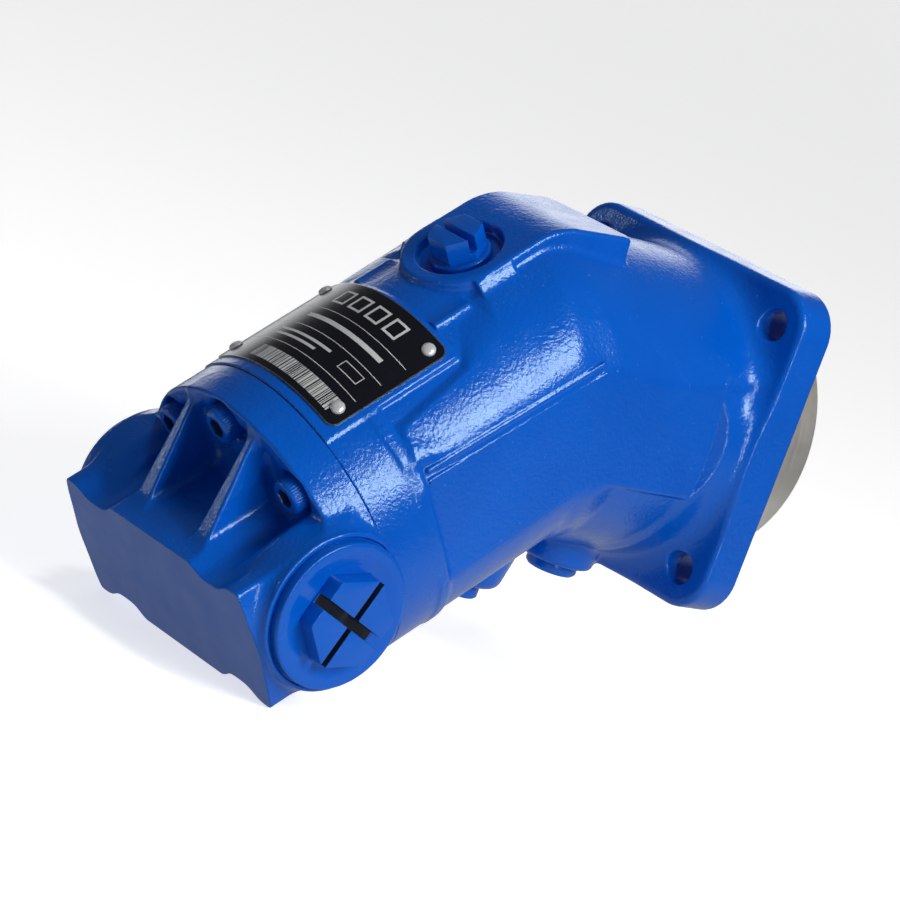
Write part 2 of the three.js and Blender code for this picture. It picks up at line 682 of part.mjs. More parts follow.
// Pistons: each ball stays in its socket while the tapered body leans so its tail stays in the bore
function pistonFrame(k) {
  const angle = 2 * Math.PI * k / PISTONS;
  const along = C.clone().multiplyScalar(TAIL_RISE)
    .addScaledVector(N, TAIL_SHIFT * Math.cos(angle))
    .addScaledVector(Y, TAIL_SHIFT * Math.sin(angle))
    .normalize();
  const side = new THREE.Vector3().crossVectors(along, Y).normalize();
  return frame(side, along, side.clone().cross(along), ballCentre(k));
}

function makePiston(k) {
  const l = PISTON_LEN;
  return turned([
    [0, BALL_R + 0.08], [2.8, BALL_R + 0.08], [5.1, l - 3.4], [5.2, l - 1.2], [4.3, l - 1.1],
    [4.3, l + 1.1], [5.2, l + 1.2], [4.5, l + 3.8], [0, l + 3.8],
  ], 10, pistonFrame(k));
}

function makePistonRing(k) {
  const l = PISTON_LEN;
  return turned([[4.6, l - 1], [5.5, l - 1], [5.5, l + 1], [4.6, l + 1], [4.6, l - 1]], 12, pistonFrame(k));
}

function makePistonBall(k) {
  return ball(ballCentre(k), BALL_R, 10, 6);
}

// Cylinder block with seven bores, a spring chamber and a hollow spherical end
const VALVE_DOME = [[0, 61.6], [7, 61.95], [14, 63], [22.5, 65.2]];
const BLOCK_DOME_GAP = 0.15;
const CHAMBER_R = 8.2;
const CHAMBER_END_L = 57.6;

function makeBlock() {
  const dome = VALVE_DOME.map(([r, l]) => [r, l - BLOCK_DOME_GAP]).reverse();
  let body = turned([
    [0, BLOCK_FRONT_L], [22.6, BLOCK_FRONT_L], [BLOCK_R, BLOCK_FRONT_L + 2.5], [BLOCK_R, 63.6], ...dome,
  ], 32, BARREL_TURN);
  const chamberDepth = CHAMBER_END_L - BLOCK_FRONT_L + 1;
  body = body.subtract(bar(inBarrel(BLOCK_FRONT_L - 1, 0, 0), C, chamberDepth, CHAMBER_R, 16));
  body = body.subtract(bar(inBarrel(50, 0, 0), C, 20, 2.5, 8));
  for (let k = 0; k < PISTONS; k += 1) {
    const angle = 2 * Math.PI * k / PISTONS;
    const across = (r, l) => inBarrel(l, -r * Math.sin(angle), r * Math.cos(angle));
    body = body.subtract(bar(across(BORE_PITCH_R, BLOCK_FRONT_L - 1), C, 61 - BLOCK_FRONT_L, BORE_R, 14));
    body = body.subtract(bar(across(15.1, 58), C, 10, 2.4, 6));
  }
  return body;
}

const CENTRE_BALL_R = 5.5;

function makeCentrePin() {
  const shank = turned([
    [0, 2], [3.6, 2], [3.6, 8], [5, 9.5], [5, 33], [CHAMBER_R - 0.4, 33], [CHAMBER_R - 0.4, 36],
    [4, 36], [4, 48.5], [3.2, 49.5], [0, 49.5],
  ], 16, BARREL_TURN);
  return shank.add(ball(PIVOT, CENTRE_BALL_R, 12, 8));
}

class Helix extends THREE.Curve {
  constructor(radius, from, to, turns) {
    super();
    Object.assign(this, { radius, from, to, turns });
  }

  getPoint(t, target = new THREE.Vector3()) {
    const angle = 2 * Math.PI * this.turns * t;
    const along = this.from + (this.to - this.from) * t;
    const place = inBarrel(along, this.radius * Math.sin(angle), this.radius * Math.cos(angle));
    return target.copy(place);
  }
}

function makeSpring() {
  const wire = 1.05;
  const section = new THREE.Shape();
  section.absarc(0, 0, wire, 0, 2 * Math.PI);
  const path = new Helix(6.1, 36.3 + wire, CHAMBER_END_L - 1.8 - wire, 5.5);
  const geometry = new THREE.ExtrudeGeometry(section, { steps: 44, curveSegments: 2, extrudePath: path });
  return solid(geometry);
}

function makeSpringSeat() {
  const from = CHAMBER_END_L - 1.6;
  const to = CHAMBER_END_L - GAP;
  return turned([[4.3, from], [7.7, from], [7.7, to], [4.3, to], [4.3, from]], 16, BARREL_TURN);
}

function makeValvePlate() {
  let plate = turned([...VALVE_DOME, [22.5, VALVE_BACK_L], [0, VALVE_BACK_L]], 32, BARREL_TURN);
  for (const side of [-1, 1]) {
    plate = plate.subtract(kidney(60, 72, side));
  }
  return plate.subtract(bar(inBarrel(66.6, 0, DOWEL_N), C, 5, 1.7, 8));
}

function makeDowel() {
  return bar(inBarrel(66.9, 0, DOWEL_N), C, 6.2, 1.5, 8);
}

function makeCaseSealRing() {
  const centre = SPIGOT_IN_R - 1;
  const points = [];
  for (let i = 0; i <= 6; i += 1) {
    const angle = 2 * Math.PI * i / 6;
    points.push([centre + 0.78 * Math.cos(angle), SPIGOT_IN_L + 1.8 + 0.78 * Math.sin(angle)]);
  }
  return turned(points, 28, BARREL_TURN);
}

const LOOKS = {
  paint: { color: 0x0b3fb5, roughness: 0.35, metalness: 0.0 },
  steel: { color: 0x9a9894, roughness: 0.4, metalness: 0.9 },
  dark_steel: { color: 0x55565a, roughness: 0.45, metalness: 0.85 },
  bronze: { color: 0xa9834a, roughness: 0.4, metalness: 0.9 },
  cast: { color: 0x6d6c6a, roughness: 0.6, metalness: 0.7 },
  rubber: { color: 0x161616, roughness: 0.8, metalness: 0.0 },
  plate: { color: 0x101114, roughness: 0.35, metalness: 0.3 },
  rivet: { color: 0xc8cacc, roughness: 0.3, metalness: 0.9 },
};

const group = new THREE.Group();
group.name = 'axial_piston_pump';

function put(name, manifold, look) {
  const mesh = new THREE.Mesh(geometryOf(manifold), new THREE.MeshStandardMaterial(LOOKS[look]));
  mesh.name = name;
  group.add(mesh);
}

put('housing', makeHousing(), 'paint');
put('port_plate', makePortPlate(), 'paint');
SCREW_ANGLES.forEach((degrees, i) => put(`cap_screw_${i + 1}`, makeCapScrew(degrees), 'paint'));
put('port_plug_near', makePortPlug(-1), 'paint');
put('port_plug_far', makePortPlug(1), 'paint');
put('drain_plug_upper', makeDrainPlug(), 'paint');
put('drain_plug_lower', makeLowerDrainPlug(), 'paint');
put('bleed_screw', makeBleedScrew(), 'paint');
put('nameplate', makeNameplate(), 'plate');
RIVET_PLACES.forEach(([l, degrees], i) => put(`rivet_${i + 1}`, makeRivet(l, degrees), 'rivet'));
put('drive_shaft', makeShaft(), 'steel');
put('retaining_plate', makeRetainingPlate(), 'dark_steel');
put('rear_bearing_cup', makeCup(REAR_BEARING), 'steel');
put('rear_bearing_cone', makeCone(REAR_BEARING), 'steel');
put('rear_roller_set', makeRollerSet(REAR_BEARING), 'dark_steel');
put('front_bearing_cup', makeCup(FRONT_BEARING), 'steel');
put('front_bearing_cone', makeCone(FRONT_BEARING), 'steel');
put('front_roller_set', makeRollerSet(FRONT_BEARING), 'dark_steel');
put('shaft_seal', makeShaftSeal(), 'rubber');
put('seal_circlip', makeCirclip(), 'dark_steel');
for (let k = 0; k < PISTONS; k += 1) {
  put(`piston_ball_${k + 1}`, makePistonBall(k), 'steel');
  put(`piston_${k + 1}`, makePiston(k), 'steel');
  put(`piston_ring_${k + 1}`, makePistonRing(k), 'cast');
}
put('cylinder_block', makeBlock(), 'bronze');
put('centre_pin', makeCentrePin(), 'steel');
put('block_spring', makeSpring(), 'dark_steel');
put('spring_seat', makeSpringSeat(), 'steel');
put('valve_plate', makeValvePlate(), 'bronze');
put('valve_dowel', makeDowel(), 'steel');
put('case_seal_ring', makeCaseSealRing(), 'rubber');

export default group;
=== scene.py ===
"""Visual model of a 40 degree bent-axis axial piston pump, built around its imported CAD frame.

Lengths are written in millimetres and turned into metres when a mesh is made. The cast pieces are
signed distance fields: smooth unions give the fillets a casting has.
"""
import math
import random

import bmesh
import bpy
import numpy as np
from mathutils import Matrix, Vector


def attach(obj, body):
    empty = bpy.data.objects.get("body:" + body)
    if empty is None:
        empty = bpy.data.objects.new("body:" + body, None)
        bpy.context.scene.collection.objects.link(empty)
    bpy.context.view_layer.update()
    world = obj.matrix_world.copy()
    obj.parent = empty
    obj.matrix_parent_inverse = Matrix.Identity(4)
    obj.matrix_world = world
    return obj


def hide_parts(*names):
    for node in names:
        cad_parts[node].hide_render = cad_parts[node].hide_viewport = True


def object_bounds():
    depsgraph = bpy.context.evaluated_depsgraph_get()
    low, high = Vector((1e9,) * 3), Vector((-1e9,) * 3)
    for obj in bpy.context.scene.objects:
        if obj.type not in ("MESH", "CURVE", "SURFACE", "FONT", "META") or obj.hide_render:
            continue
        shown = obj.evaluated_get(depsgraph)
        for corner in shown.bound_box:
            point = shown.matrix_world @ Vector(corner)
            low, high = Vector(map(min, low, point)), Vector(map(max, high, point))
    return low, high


random.seed(16)
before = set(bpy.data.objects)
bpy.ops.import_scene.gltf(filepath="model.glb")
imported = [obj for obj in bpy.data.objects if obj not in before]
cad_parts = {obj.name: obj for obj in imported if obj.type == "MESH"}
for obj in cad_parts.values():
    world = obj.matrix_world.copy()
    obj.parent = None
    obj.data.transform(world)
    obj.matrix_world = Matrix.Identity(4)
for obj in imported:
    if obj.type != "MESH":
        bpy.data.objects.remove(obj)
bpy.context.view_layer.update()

# Driving dimensions in millimetres. A name that ends in _L is a distance along the cylinder axis from the
# pivot, where the shaft axis and the cylinder axis cross. A name that ends in _R is a radius.
MM = 0.001
BEND = math.radians(40)
FACE_X = -44.0
PIVOT_X = FACE_X - 66.8

CASE_R = 43.9
CHEEK_R = 44.65
CHANNEL_R = 43.1
BELLY_R = 43.5
FLAT_Y = 40.85
PANEL_DRAFT = 0.18
PANEL_TOP = 17.4
CHEEK_END_L = 54.7
RING_START_L = 57.0
LAND_R = 44.2
LAND_START_L = 29.5
LAND_DEGREES = 37.4

FLANGE_HALF = 47.5
FLANGE_CORNER_R = 12.0
FLANGE_T = 12.2
FLANGE_FILLET = 8.5
HOLE_OFFSET = 36.4
HOLE_R = 4.5
SPIGOT_R = 40.0
SPIGOT_RISE = 19.4
SPIGOT_BORE_R = 22.15

PAD_HALF = 16.3
PAD_TOP_N = 44.9
PAD_END_X = FACE_X - 56.0
DRAIN_L = 5.0
DRAIN_RECESS_R = 11.9
DRAIN_FLOOR_N = 41.6
DRAIN_HEXAGON = 13.0
GUSSET_TILT = math.radians(58)
BLEED_X = FACE_X - 54.5
BLEED_FACE = 59.7
LOWER_DRAIN_X = FACE_X - 22.5
LOWER_DRAIN_FACE = 49.8
SEAT_GAP = 0.05

SEAM_L = 73.75
SEAM_GAP = 0.04
RIM_L = 85.7
END_L = 115.9
WEB_Y = 13.5
PORT_L = 92.8
PORT_R = 10.4
PORT_BOSS_R = 22.0
PORT_RECESS_R = 20.7
PORT_FACE_Y = 44.0
PORT_HEXAGON = 23.4
PORT_PLUG_TURN = math.radians(-28.3)
SCREW_PCR = 36.5
SCREW_R = 3.0
SCREW_HEAD_R = 5.0
SCREW_SOCKET = 5.0
SCREW_SEAT_L = 82.7
SCREW_ANGLES = (-45, 0, 45, 135, 180, 225)

PLATE_R = 44.35
PLATE_T = 0.5
ENAMEL_T = 0.02
PRINT_T = 0.015

CASE_BORE_R = 32.0
KNEE_R = 32.4
REAR_CUP_R = 31.05
FRONT_CUP_R = 27.55
SEAL_R = 22.1
SHAFT_BALL_PCR = 18.0
SHAFT_BALLS = 7
SPLINE_TEETH = 18
SPLINE_ROOT_R = 11.1
SPLINE_TIP_R = 12.4

# C points along the cylinder axis away from the shaft, and N square to it on the convex side of the bend.
C = np.array([-math.cos(BEND), 0.0, -math.sin(BEND)])
N = np.array([-math.sin(BEND), 0.0, math.cos(BEND)])
X = np.array([1.0, 0.0, 0.0])
Y = np.array([0.0, 1.0, 0.0])
Z = np.array([0.0, 0.0, 1.0])
PIVOT = np.array([PIVOT_X, 0.0, 0.0])


def in_barrel(l, y, n):
    """A point from its distance along the cylinder axis, its side and its height, in millimetres."""
    return PIVOT + C * l + Y * y + N * n


# ---------------------------------------------------------------- distance fields

def smin(a, b, k):
    """Union with a fillet about k wide."""
    h = np.maximum(k - np.abs(a - b), 0.0) / k
    return np.minimum(a, b) - h * h * k * 0.25


def smax(a, b, k):
    """Intersection with a rounded edge about k wide."""
    return -smin(-a, -b, k)


def cut(a, b, k):
    """a with b taken away and the new edge rounded."""
    return smax(a, -b, k)


def ramp(low, high, t):
    """0 below low, 1 above high and a smooth step between them."""
    s = np.clip((t - low) / (high - low), 0.0, 1.0)
    return s * s * (3 - 2 * s)


def span(t, low, high):
    """Negative while t lies between low and high."""
    return np.maximum(low - t, t - high)


def rounded_square(u, v, half, radius):
    """The distance to a square with rounded corners."""
    du = np.abs(u) - (half - radius)
    dv = np.abs(v) - (half - radius)
    outside = np.hypot(np.maximum(du, 0), np.maximum(dv, 0))
    return outside + np.minimum(np.maximum(du, dv), 0) - radius


def barrel_coordinates(p):
    """Distance along the cylinder axis, side and height of each point."""
    q = p - PIVOT.astype(p.dtype)
    return q @ C.astype(p.dtype), q[:, 1], q @ N.astype(p.dtype)


CHEEK_EDGE_L = [-200, 8, 11, 15, 30, CHEEK_END_L, 300]
CHEEK_EDGE_DEG = [0, 0, 18, 30, 42, 47, 49]


def cheek_height(l, degrees):
    """How far the cheek stands above the channel round the nameplate's land."""
    edge = np.interp(l, CHEEK_EDGE_L, CHEEK_EDGE_DEG)
    across = (edge - degrees) * math.radians(CASE_R)
    end = CHEEK_END_L + 0.2 + (degrees - 47) * 0.13
    outside = smax(across, l - end, 2.0)
    softness = 1 + 3.5 * (1 - ramp(20.0, 31.0, l))
    return (CHEEK_R - CHANNEL_R) * (1 - ramp(-1.2, 1.9, outside / softness))


def case_body(p):
    """The elbow: barrel and neck mitred at the pivot, with a flat panel on either side."""
    l, y, n = barrel_coordinates(p)
    x, z = p[:, 0], p[:, 2]
    side = np.abs(y)
    degrees = np.degrees(np.arctan2(side, n))
    upper = ramp(-14.0, -13.0, n)
    radius = BELLY_R + upper * (CHANNEL_R + cheek_height(l, degrees) - BELLY_R)
    barrel = np.hypot(y, n) - radius
    neck = np.hypot(y, z) - CASE_R + 0.9 * ramp(-15.2, -16.2, z) * ramp(-66.0, -72.0, x)
    mitre = -(x - PIVOT_X) * math.cos(BEND / 2) - z * math.sin(BEND / 2)
    height = z * math.cos(BEND / 2) - (x - PIVOT_X) * math.sin(BEND / 2)
    soft = 0.2 + 5.0 * np.exp(-(mitre / 9.0) ** 2)
    share = ramp(-8, 8, height)
    body = share * smax(barrel, neck, soft) + (1 - share) * smin(barrel, neck, soft)
    panel_top = np.where(mitre > 0, n, z)
    strip = (side + PANEL_DRAFT * panel_top - 43.63) / math.hypot(1, PANEL_DRAFT)
    body = smax(body, np.where(mitre > -4.0, strip, -50.0), 1.0)
    body = smin(body, cheek_bead(l, side, n), 0.5)
    panel_end = -70.0 + 2.8 * (1 - ((z + 4.0) / 21.0) ** 2)
    flat = side - FLAT_Y - np.clip(x - panel_end, 0, 5)
    lip = smax(flat, panel_top - PANEL_TOP + 0.04 * np.clip(55.0 - l, 0, 60), 0.8)
    lip = np.maximum(lip, np.maximum(30.0 - side, np.maximum(l - 55.0, x + 72.0)))
    lip = np.maximum(lip, -15.0 - panel_top)
    body = smax(body, flat, 0.8)
    return smin(body, lip, 0.3)


def cheek_bead(l, side, n):
    """A thin rounded edge along the lower side of the cheek."""
    bead_n = 19.4 - 0.035 * (55.0 - l)
    bead_side = 43.18 - PANEL_DRAFT * bead_n
    bead = np.hypot(side - bead_side, n - bead_n) - 0.75
    return smax(bead, span(l, -6.0, 54.5), 0.6)


def pad_gussets(p):
    """Two small sloping steps between the pad and the nameplate."""
    l, y, n = barrel_coordinates(p)
    side = np.abs(y)
    slope = math.sin(GUSSET_TILT) * side + math.cos(GUSSET_TILT) * n
    upper = smax(slope - 37.1, np.maximum(span(l, 0.3, 12.3), n - 44.3), 0.6)
    lower = smax(slope - 36.4, np.maximum(span(l, 16.4, 28.6), n - 40.8), 0.6)
    bounds = np.maximum(span(side, 12.0, 24.0), 35.0 - n)
    return np.maximum(np.minimum(upper, lower), bounds)


def flange_blank(p):
    """The square flange without its holes, a little longer than its face so that it can be cut off flat."""
    x = p[:, 0]
    outline = rounded_square(p[:, 1], p[:, 2], FLANGE_HALF, FLANGE_CORNER_R)
    plate = smax(outline, FACE_X - FLANGE_T - x, 2.6)
    return smax(plate, x - FACE_X - 1.0, 0.7)


def top_pad(p):
    """The pad round the upper drain plug, which runs on over the knee and stops before the flange."""
    l, y, n = barrel_coordinates(p)
    x, z = p[:, 0], p[:, 2]
    top = smax(n - PAD_TOP_N, z - 47.3 + 0.07 * (PAD_END_X - x), 4.5)
    width = np.abs(y) - PAD_HALF
    round_end = np.where(l > DRAIN_L, np.hypot(l - DRAIN_L, y) - PAD_HALF, width)
    draft = np.maximum(44.0 - n, 0) * 0.12
    wall = smax(round_end - draft, x - PAD_END_X, 3.0)
    pad = smax(wall, top, 1.4)
    return smax(pad, 25.0 - np.maximum(n, z), 1.0)


def lower_boss(p, boss_x, radius, face, taper, rounding):
    """A boss underneath that gets wider from its face up to the casting."""
    x, y, z = p[:, 0], p[:, 1], p[:, 2]
    boss = np.hypot(x - boss_x, y) - radius - taper * np.clip(z + face, 0, 40)
    boss = smax(boss, -face - z, rounding)
    return smax(boss, z + 25, 1.0)


def shaft_bores(p):
    """The room for the two bearing cups and the seal."""
    x = p[:, 0]
    r = np.hypot(p[:, 1], p[:, 2])
    cup_rear = np.maximum(r - REAR_CUP_R, span(x, PIVOT_X, -77.0))
    cup_front = np.maximum(r - FRONT_CUP_R, span(x, PIVOT_X, -57.5))
    seal = np.maximum(r - SEAL_R, span(x, PIVOT_X, -20.0))
    return np.minimum(np.minimum(cup_rear, cup_front), seal)


def case_field(p):
    """The whole housing apart from its bare spigot."""
    l, y, n = barrel_coordinates(p)
    x, z = p[:, 0], p[:, 2]
    rb = np.hypot(y, n)
    case = case_body(p)
    case = smax(case, l - RING_START_L - 2, 0.5)
    ring = smax(rb - CASE_R, RING_START_L - l, 1.2)
    case = smin(case, ring, 2.4)
    degrees = np.degrees(np.arctan2(np.abs(y), n))
    land_side = (degrees - LAND_DEGREES) * math.radians(CASE_R)
    land = smax(smax(rb - LAND_R, land_side, 1.0), LAND_START_L - l, 1.0)
    land = smax(land, 38.0 - rb, 0.5)
    case = smin(case, land, 1.2)
    case = smin(case, top_pad(p), 1.5)
    case = smin(case, pad_gussets(p), 0.8)
    case = smin(case, lower_boss(p, BLEED_X, 10.0, BLEED_FACE, 0.19, 3.2), 5.0)
    case = smax(case, x - FACE_X + 3.0, 0.5)
    case = smin(case, flange_blank(p), FLANGE_FILLET)
    outline = rounded_square(y, z, FLANGE_HALF, FLANGE_CORNER_R)
    behind_flange = 9 * ramp(58.5, 64.5, -x) + 200 * ramp(64.5, 75.0, -x)
    case = smax(case, outline - behind_flange, 0.5)
    case = smin(case, lower_boss(p, LOWER_DRAIN_X, 11.0, LOWER_DRAIN_FACE, 0.1, 1.4), 2.2)
    case = smax(case, x - FACE_X, 0.6)
    case = smax(case, l - (SEAM_L - SEAM_GAP), 0.3)
    from_drain = np.hypot(l - DRAIN_L, y)
    case = cut(case, smax(from_drain - DRAIN_RECESS_R, DRAIN_FLOOR_N - n, 0.8), 0.8)
    case = cut(case, np.maximum(from_drain - 6.1, 20 - n), 0.4)
    for hole_y in (-HOLE_OFFSET, HOLE_OFFSET):
        for hole_z in (-HOLE_OFFSET, HOLE_OFFSET):
            hole = np.maximum(np.hypot(y - hole_y, z - hole_z) - HOLE_R, FACE_X - 20.0 - x)
            case = cut(case, hole, 0.8)
    port = np.maximum(np.hypot(l - PORT_L, n) - PORT_RECESS_R, 43.3 - np.abs(y))
    case = cut(case, port, 0.6)
    barrel_bore = np.maximum(rb - CASE_BORE_R, 2.0 - l)
    knee_room = np.linalg.norm(p - PIVOT.astype(p.dtype), axis=1) - KNEE_R
    inside = np.minimum(np.minimum(barrel_bore, knee_room), shaft_bores(p))
    case = np.maximum(case, -inside)
    for hole_x, hole_r in ((BLEED_X, 4.3), (LOWER_DRAIN_X, 5.3)):
        case = np.maximum(case, -np.maximum(np.hypot(x - hole_x, y) - hole_r, z + 36))
    return case


# ---------------------------------------------------------------- surface from a field

BLOCK = 6
POINTS_AT_ONCE = 200000
BLOCKS_AT_ONCE = 3000


def grid_index(counts):
    """Every index triple of a grid, one to a row."""
    return np.stack(np.meshgrid(*[np.arange(c) for c in counts], indexing="ij"), -1).reshape(-1, 3)


def sample_field(field, low, counts, step):
    """The field on a grid, worked out finely only in the blocks near its surface."""
    blocks = [math.ceil(c / BLOCK) for c in counts]
    index = grid_index(blocks)
    centres = (low + (index * BLOCK + (BLOCK - 1) / 2) * step).astype(np.float32)
    parts = np.array_split(centres, max(1, len(centres) // POINTS_AT_ONCE))
    rough = np.concatenate([field(part) for part in parts])
    values = rough.reshape(blocks).astype(np.float32)
    for axis in range(3):
        values = np.repeat(values, BLOCK, axis)
    half_diagonal = BLOCK * step * 0.87
    near = index[np.abs(rough) < half_diagonal * 1.25 + 1.2]
    offsets = grid_index([BLOCK] * 3)
    for part in np.array_split(near, max(1, len(near) // BLOCKS_AT_ONCE)):
        cells = (part[:, None, :] * BLOCK + offsets[None]).reshape(-1, 3)
        values[cells[:, 0], cells[:, 1], cells[:, 2]] = field((low + cells * step).astype(np.float32))
    return values


def surface_net(values, low, step):
    """Vertices and quads where the sampled field changes sign."""
    inside = values < 0
    a = inside.astype(np.uint8)
    total = a[:-1] + a[1:]
    total = total[:, :-1] + total[:, 1:]
    total = total[:, :, :-1] + total[:, :, 1:]
    cells = np.argwhere((total > 0) & (total < 8))
    number = np.full(total.shape, -1, np.int32)
    number[cells[:, 0], cells[:, 1], cells[:, 2]] = np.arange(len(cells))
    place = np.zeros((len(cells), 3))
    weight = np.zeros(len(cells))
    corners = [(i, j, k) for i in (0, 1) for j in (0, 1) for k in (0, 1)]
    held = {c: values[cells[:, 0] + c[0], cells[:, 1] + c[1], cells[:, 2] + c[2]] for c in corners}
    for c in corners:
        for axis in range(3):
            if c[axis]:
                continue
            other = tuple(v + (1 if i == axis else 0) for i, v in enumerate(c))
            v0, v1 = held[c], held[other]
            crossing = (v0 < 0) != (v1 < 0)
            t = np.where(crossing, v0 / np.where(crossing, v0 - v1, 1.0), 0.0)
            point = np.array(c, float)[None] + np.eye(3)[axis][None] * t[:, None]
            place += point * crossing[:, None]
            weight += crossing
    points = low + (cells + place / weight[:, None]) * step
    quads = []
    for axis in range(3):
        lower = [slice(None)] * 3
        upper = [slice(None)] * 3
        lower[axis] = slice(0, -1)
        upper[axis] = slice(1, None)
        first, second = inside[tuple(lower)], inside[tuple(upper)]
        b, c = [i for i in range(3) if i != axis]
        edges = np.argwhere(first != second)
        keep = (edges[:, b] > 0) & (edges[:, c] > 0)
        for other in (b, c):
            keep &= edges[:, other] < values.shape[other] - 1
        edges = edges[keep]
        out = first[edges[:, 0], edges[:, 1], edges[:, 2]]
        loop = []
        for db, dc in ((1, 1), (0, 1), (0, 0), (1, 0)):
            at = edges.copy()
            at[:, b] -= db
            at[:, c] -= dc
            loop.append(number[at[:, 0], at[:, 1], at[:, 2]])
        quad = np.stack(loop, 1)
        flip = out if axis != 1 else ~out
        quad[~flip] = quad[~flip][:, ::-1]
        quads.append(quad)
    return points, np.concatenate(quads)


def gradient(field, points, reach=0.02):
    """The slope of the field by central differences."""
    result = np.zeros_like(points)
    for axis, step in enumerate(np.eye(3) * reach):
        result[:, axis] = (field(points + step) - field(points - step)) / (2 * reach)
    return result


def settle(field, points, most):
    """Moves points on to the surface and gives the surface normals there."""
    start = points.copy()
    for _ in range(3):
        g = gradient(field, points)
        size = np.maximum((g * g).sum(1), 0.2)
        points = points - g * (field(points) / size)[:, None]
        away = points - start
        far = np.maximum(np.linalg.norm(away, axis=1) / most, 1.0)
        points = start + away / far[:, None]
    g = gradient(field, points, 0.05)
    return points, g / np.maximum(np.linalg.norm(g, axis=1), 1e-9)[:, None]


def new_object(name, data):
    ob = bpy.data.objects.new(name, data)
    bpy.context.scene.collection.objects.link(ob)
    return ob


def object_from_bmesh(name, bm):
    mesh = bpy.data.meshes.new(name)
    bm.to_mesh(mesh)
    bm.free()
    return new_object(name, mesh)


def quad_object(name, points, faces, normals):
    """A smooth mesh from millimetre points, quads and the normals at the points."""
    mesh = bpy.data.meshes.new(name)
    mesh.vertices.add(len(points))
    mesh.vertices.foreach_set("co", (points * MM).astype(np.float32).ravel())
    mesh.loops.add(faces.size)
    mesh.loops.foreach_set("vertex_index", faces.astype(np.int32).ravel())
    mesh.polygons.add(len(faces))
    mesh.polygons.foreach_set("loop_start", np.arange(0, faces.size, 4, dtype=np.int32))
    mesh.update(calc_edges=True)
    mesh.validate()
    mesh.polygons.foreach_set("use_smooth", np.ones(len(mesh.polygons), bool))
    mesh.normals_split_custom_set_from_vertices(normals.astype(np.float32))
    return new_object(name, mesh)


def cast_piece(name, field, low, high, step):
    """The surface of a field inside a box, with its points and normals for later use."""
    low = np.array(low, float)
    counts = [math.ceil((b - a) / step) + 1 for a, b in zip(low, high)]
    values = sample_field(field, low, counts, step)
    points, quads = surface_net(values, low, step)
    points, normals = settle(field, points, step)
    return quad_object(name, points, quads, normals), points, normals


def end_block(l, y, n):
    """The block behind the flat end face, with a ridge beside each web and a scallop before each corner."""
    side, height = np.abs(y), np.abs(n)
    core = smax(height - 16.6, side - 39.8 + 0.004 * n * n, 4.0)
    middle = smax(height - 19.1, side - 21.4, 5.0)
    corner_side = side - 40.9 + 0.0045 * n * n
    corner = smax(smax(height - 19.0, corner_side, 1.2), 31.0 - side, 6.0)
    block = smin(smin(core, middle, 2.4), corner, 3.0)
    valley = np.hypot(side - 26.0, height - 24.5) - 7.6
    block = cut(block, valley, 3.0)
    return smax(block, 80.0 - l, 1.0)


def web_field(l, y, n):
    """The triangular webs between the end block and the screw circle."""
    side, height = np.abs(y), np.abs(n)
    rise, run = 19.8, 22.6
    slope = ((l - 109.3) * rise + (height - 19.1) * run) / math.hypot(rise, run)
    half = 1.25 + 1.5 * np.clip((38.8 - height) / 19.7, 0, 1.3)
    web = smax(np.abs(side - WEB_Y) - half, slope, 0.8)
    web = smax(web, height - 39.4, 2.0)
    web = smax(web, 8.0 - height, 0.5)
    return smax(web, 80.0 - l, 0.5)


def plate_field(q):
    """The port plate in barrel coordinates."""
    l, y, n = q[:, 0], q[:, 1], q[:, 2]
    r = np.hypot(y, n)
    disc = smax(r - CASE_R, l - RIM_L, 1.0)
    disc = smax(disc, SEAM_L - l, 0.3)
    hollow = np.maximum(r - 38.6, 84.4 - l)
    disc = cut(disc, hollow, 2.0)
    body = smin(disc, end_block(l, y, n), 4.5)
    side = np.abs(y)
    from_port = np.hypot(l - PORT_L, n)
    boss = smax(from_port - PORT_BOSS_R, 27.5 - side, 3.0)
    boss = smax(boss, side - PORT_FACE_Y, 0.8)
    boss = smax(boss, SEAM_L - l, 0.4)
    body = smin(body, boss, 3.4)
    body = smin(body, web_field(l, y, n), 2.8)
    for degrees in SCREW_ANGLES:
        a = math.radians(degrees)
        away = np.hypot(y - SCREW_PCR * math.sin(a), n - SCREW_PCR * math.cos(a))
        rise = 0.09 * np.clip(l - SCREW_SEAT_L, 0, 30)
        body = cut(body, np.maximum(away - 5.9 - rise, SCREW_SEAT_L - l), 1.6)
        body = np.maximum(body, SCREW_R + 0.4 - away)
    body = smax(body, l - END_L, 0.35)
    body = smax(body, side - PORT_FACE_Y, 0.6)
    body = cut(body, np.maximum(from_port - PORT_RECESS_R, 43.35 - side), 0.5)
    body = np.maximum(body, -np.maximum(from_port - PORT_R, 14.0 - side))
    return np.maximum(body, SEAM_L - l)


def plate_spigot_field(q):
    """The spigot of the port plate inside the case, with the O-ring groove and the two kidneys."""
    l, y, n = q[:, 0], q[:, 1], q[:, 2]
    r = np.hypot(y, n)
    spigot = smax(smax(r - 31.6, 70.0 - l, 0.5), l - SEAM_L - 1.0, 0.5)
    groove = np.maximum(29.8 - r, span(l, 70.7, 72.9))
    spigot = cut(spigot, groove, 0.2)
    for side in (-1, 1):
        sweep = np.abs(np.degrees(np.arctan2(n, side * y)))
        kidney = np.maximum(np.abs(r - 15.1) - 2.5, (sweep - 62) * 0.27)
        spigot = np.maximum(spigot, -np.maximum(kidney, l - SEAM_L - 0.5))
    return spigot


# ---------------------------------------------------------------- turned and prism pieces

def circle(radius):
    """A radius function for a round ring."""
    return lambda angle: np.full_like(angle, radius)


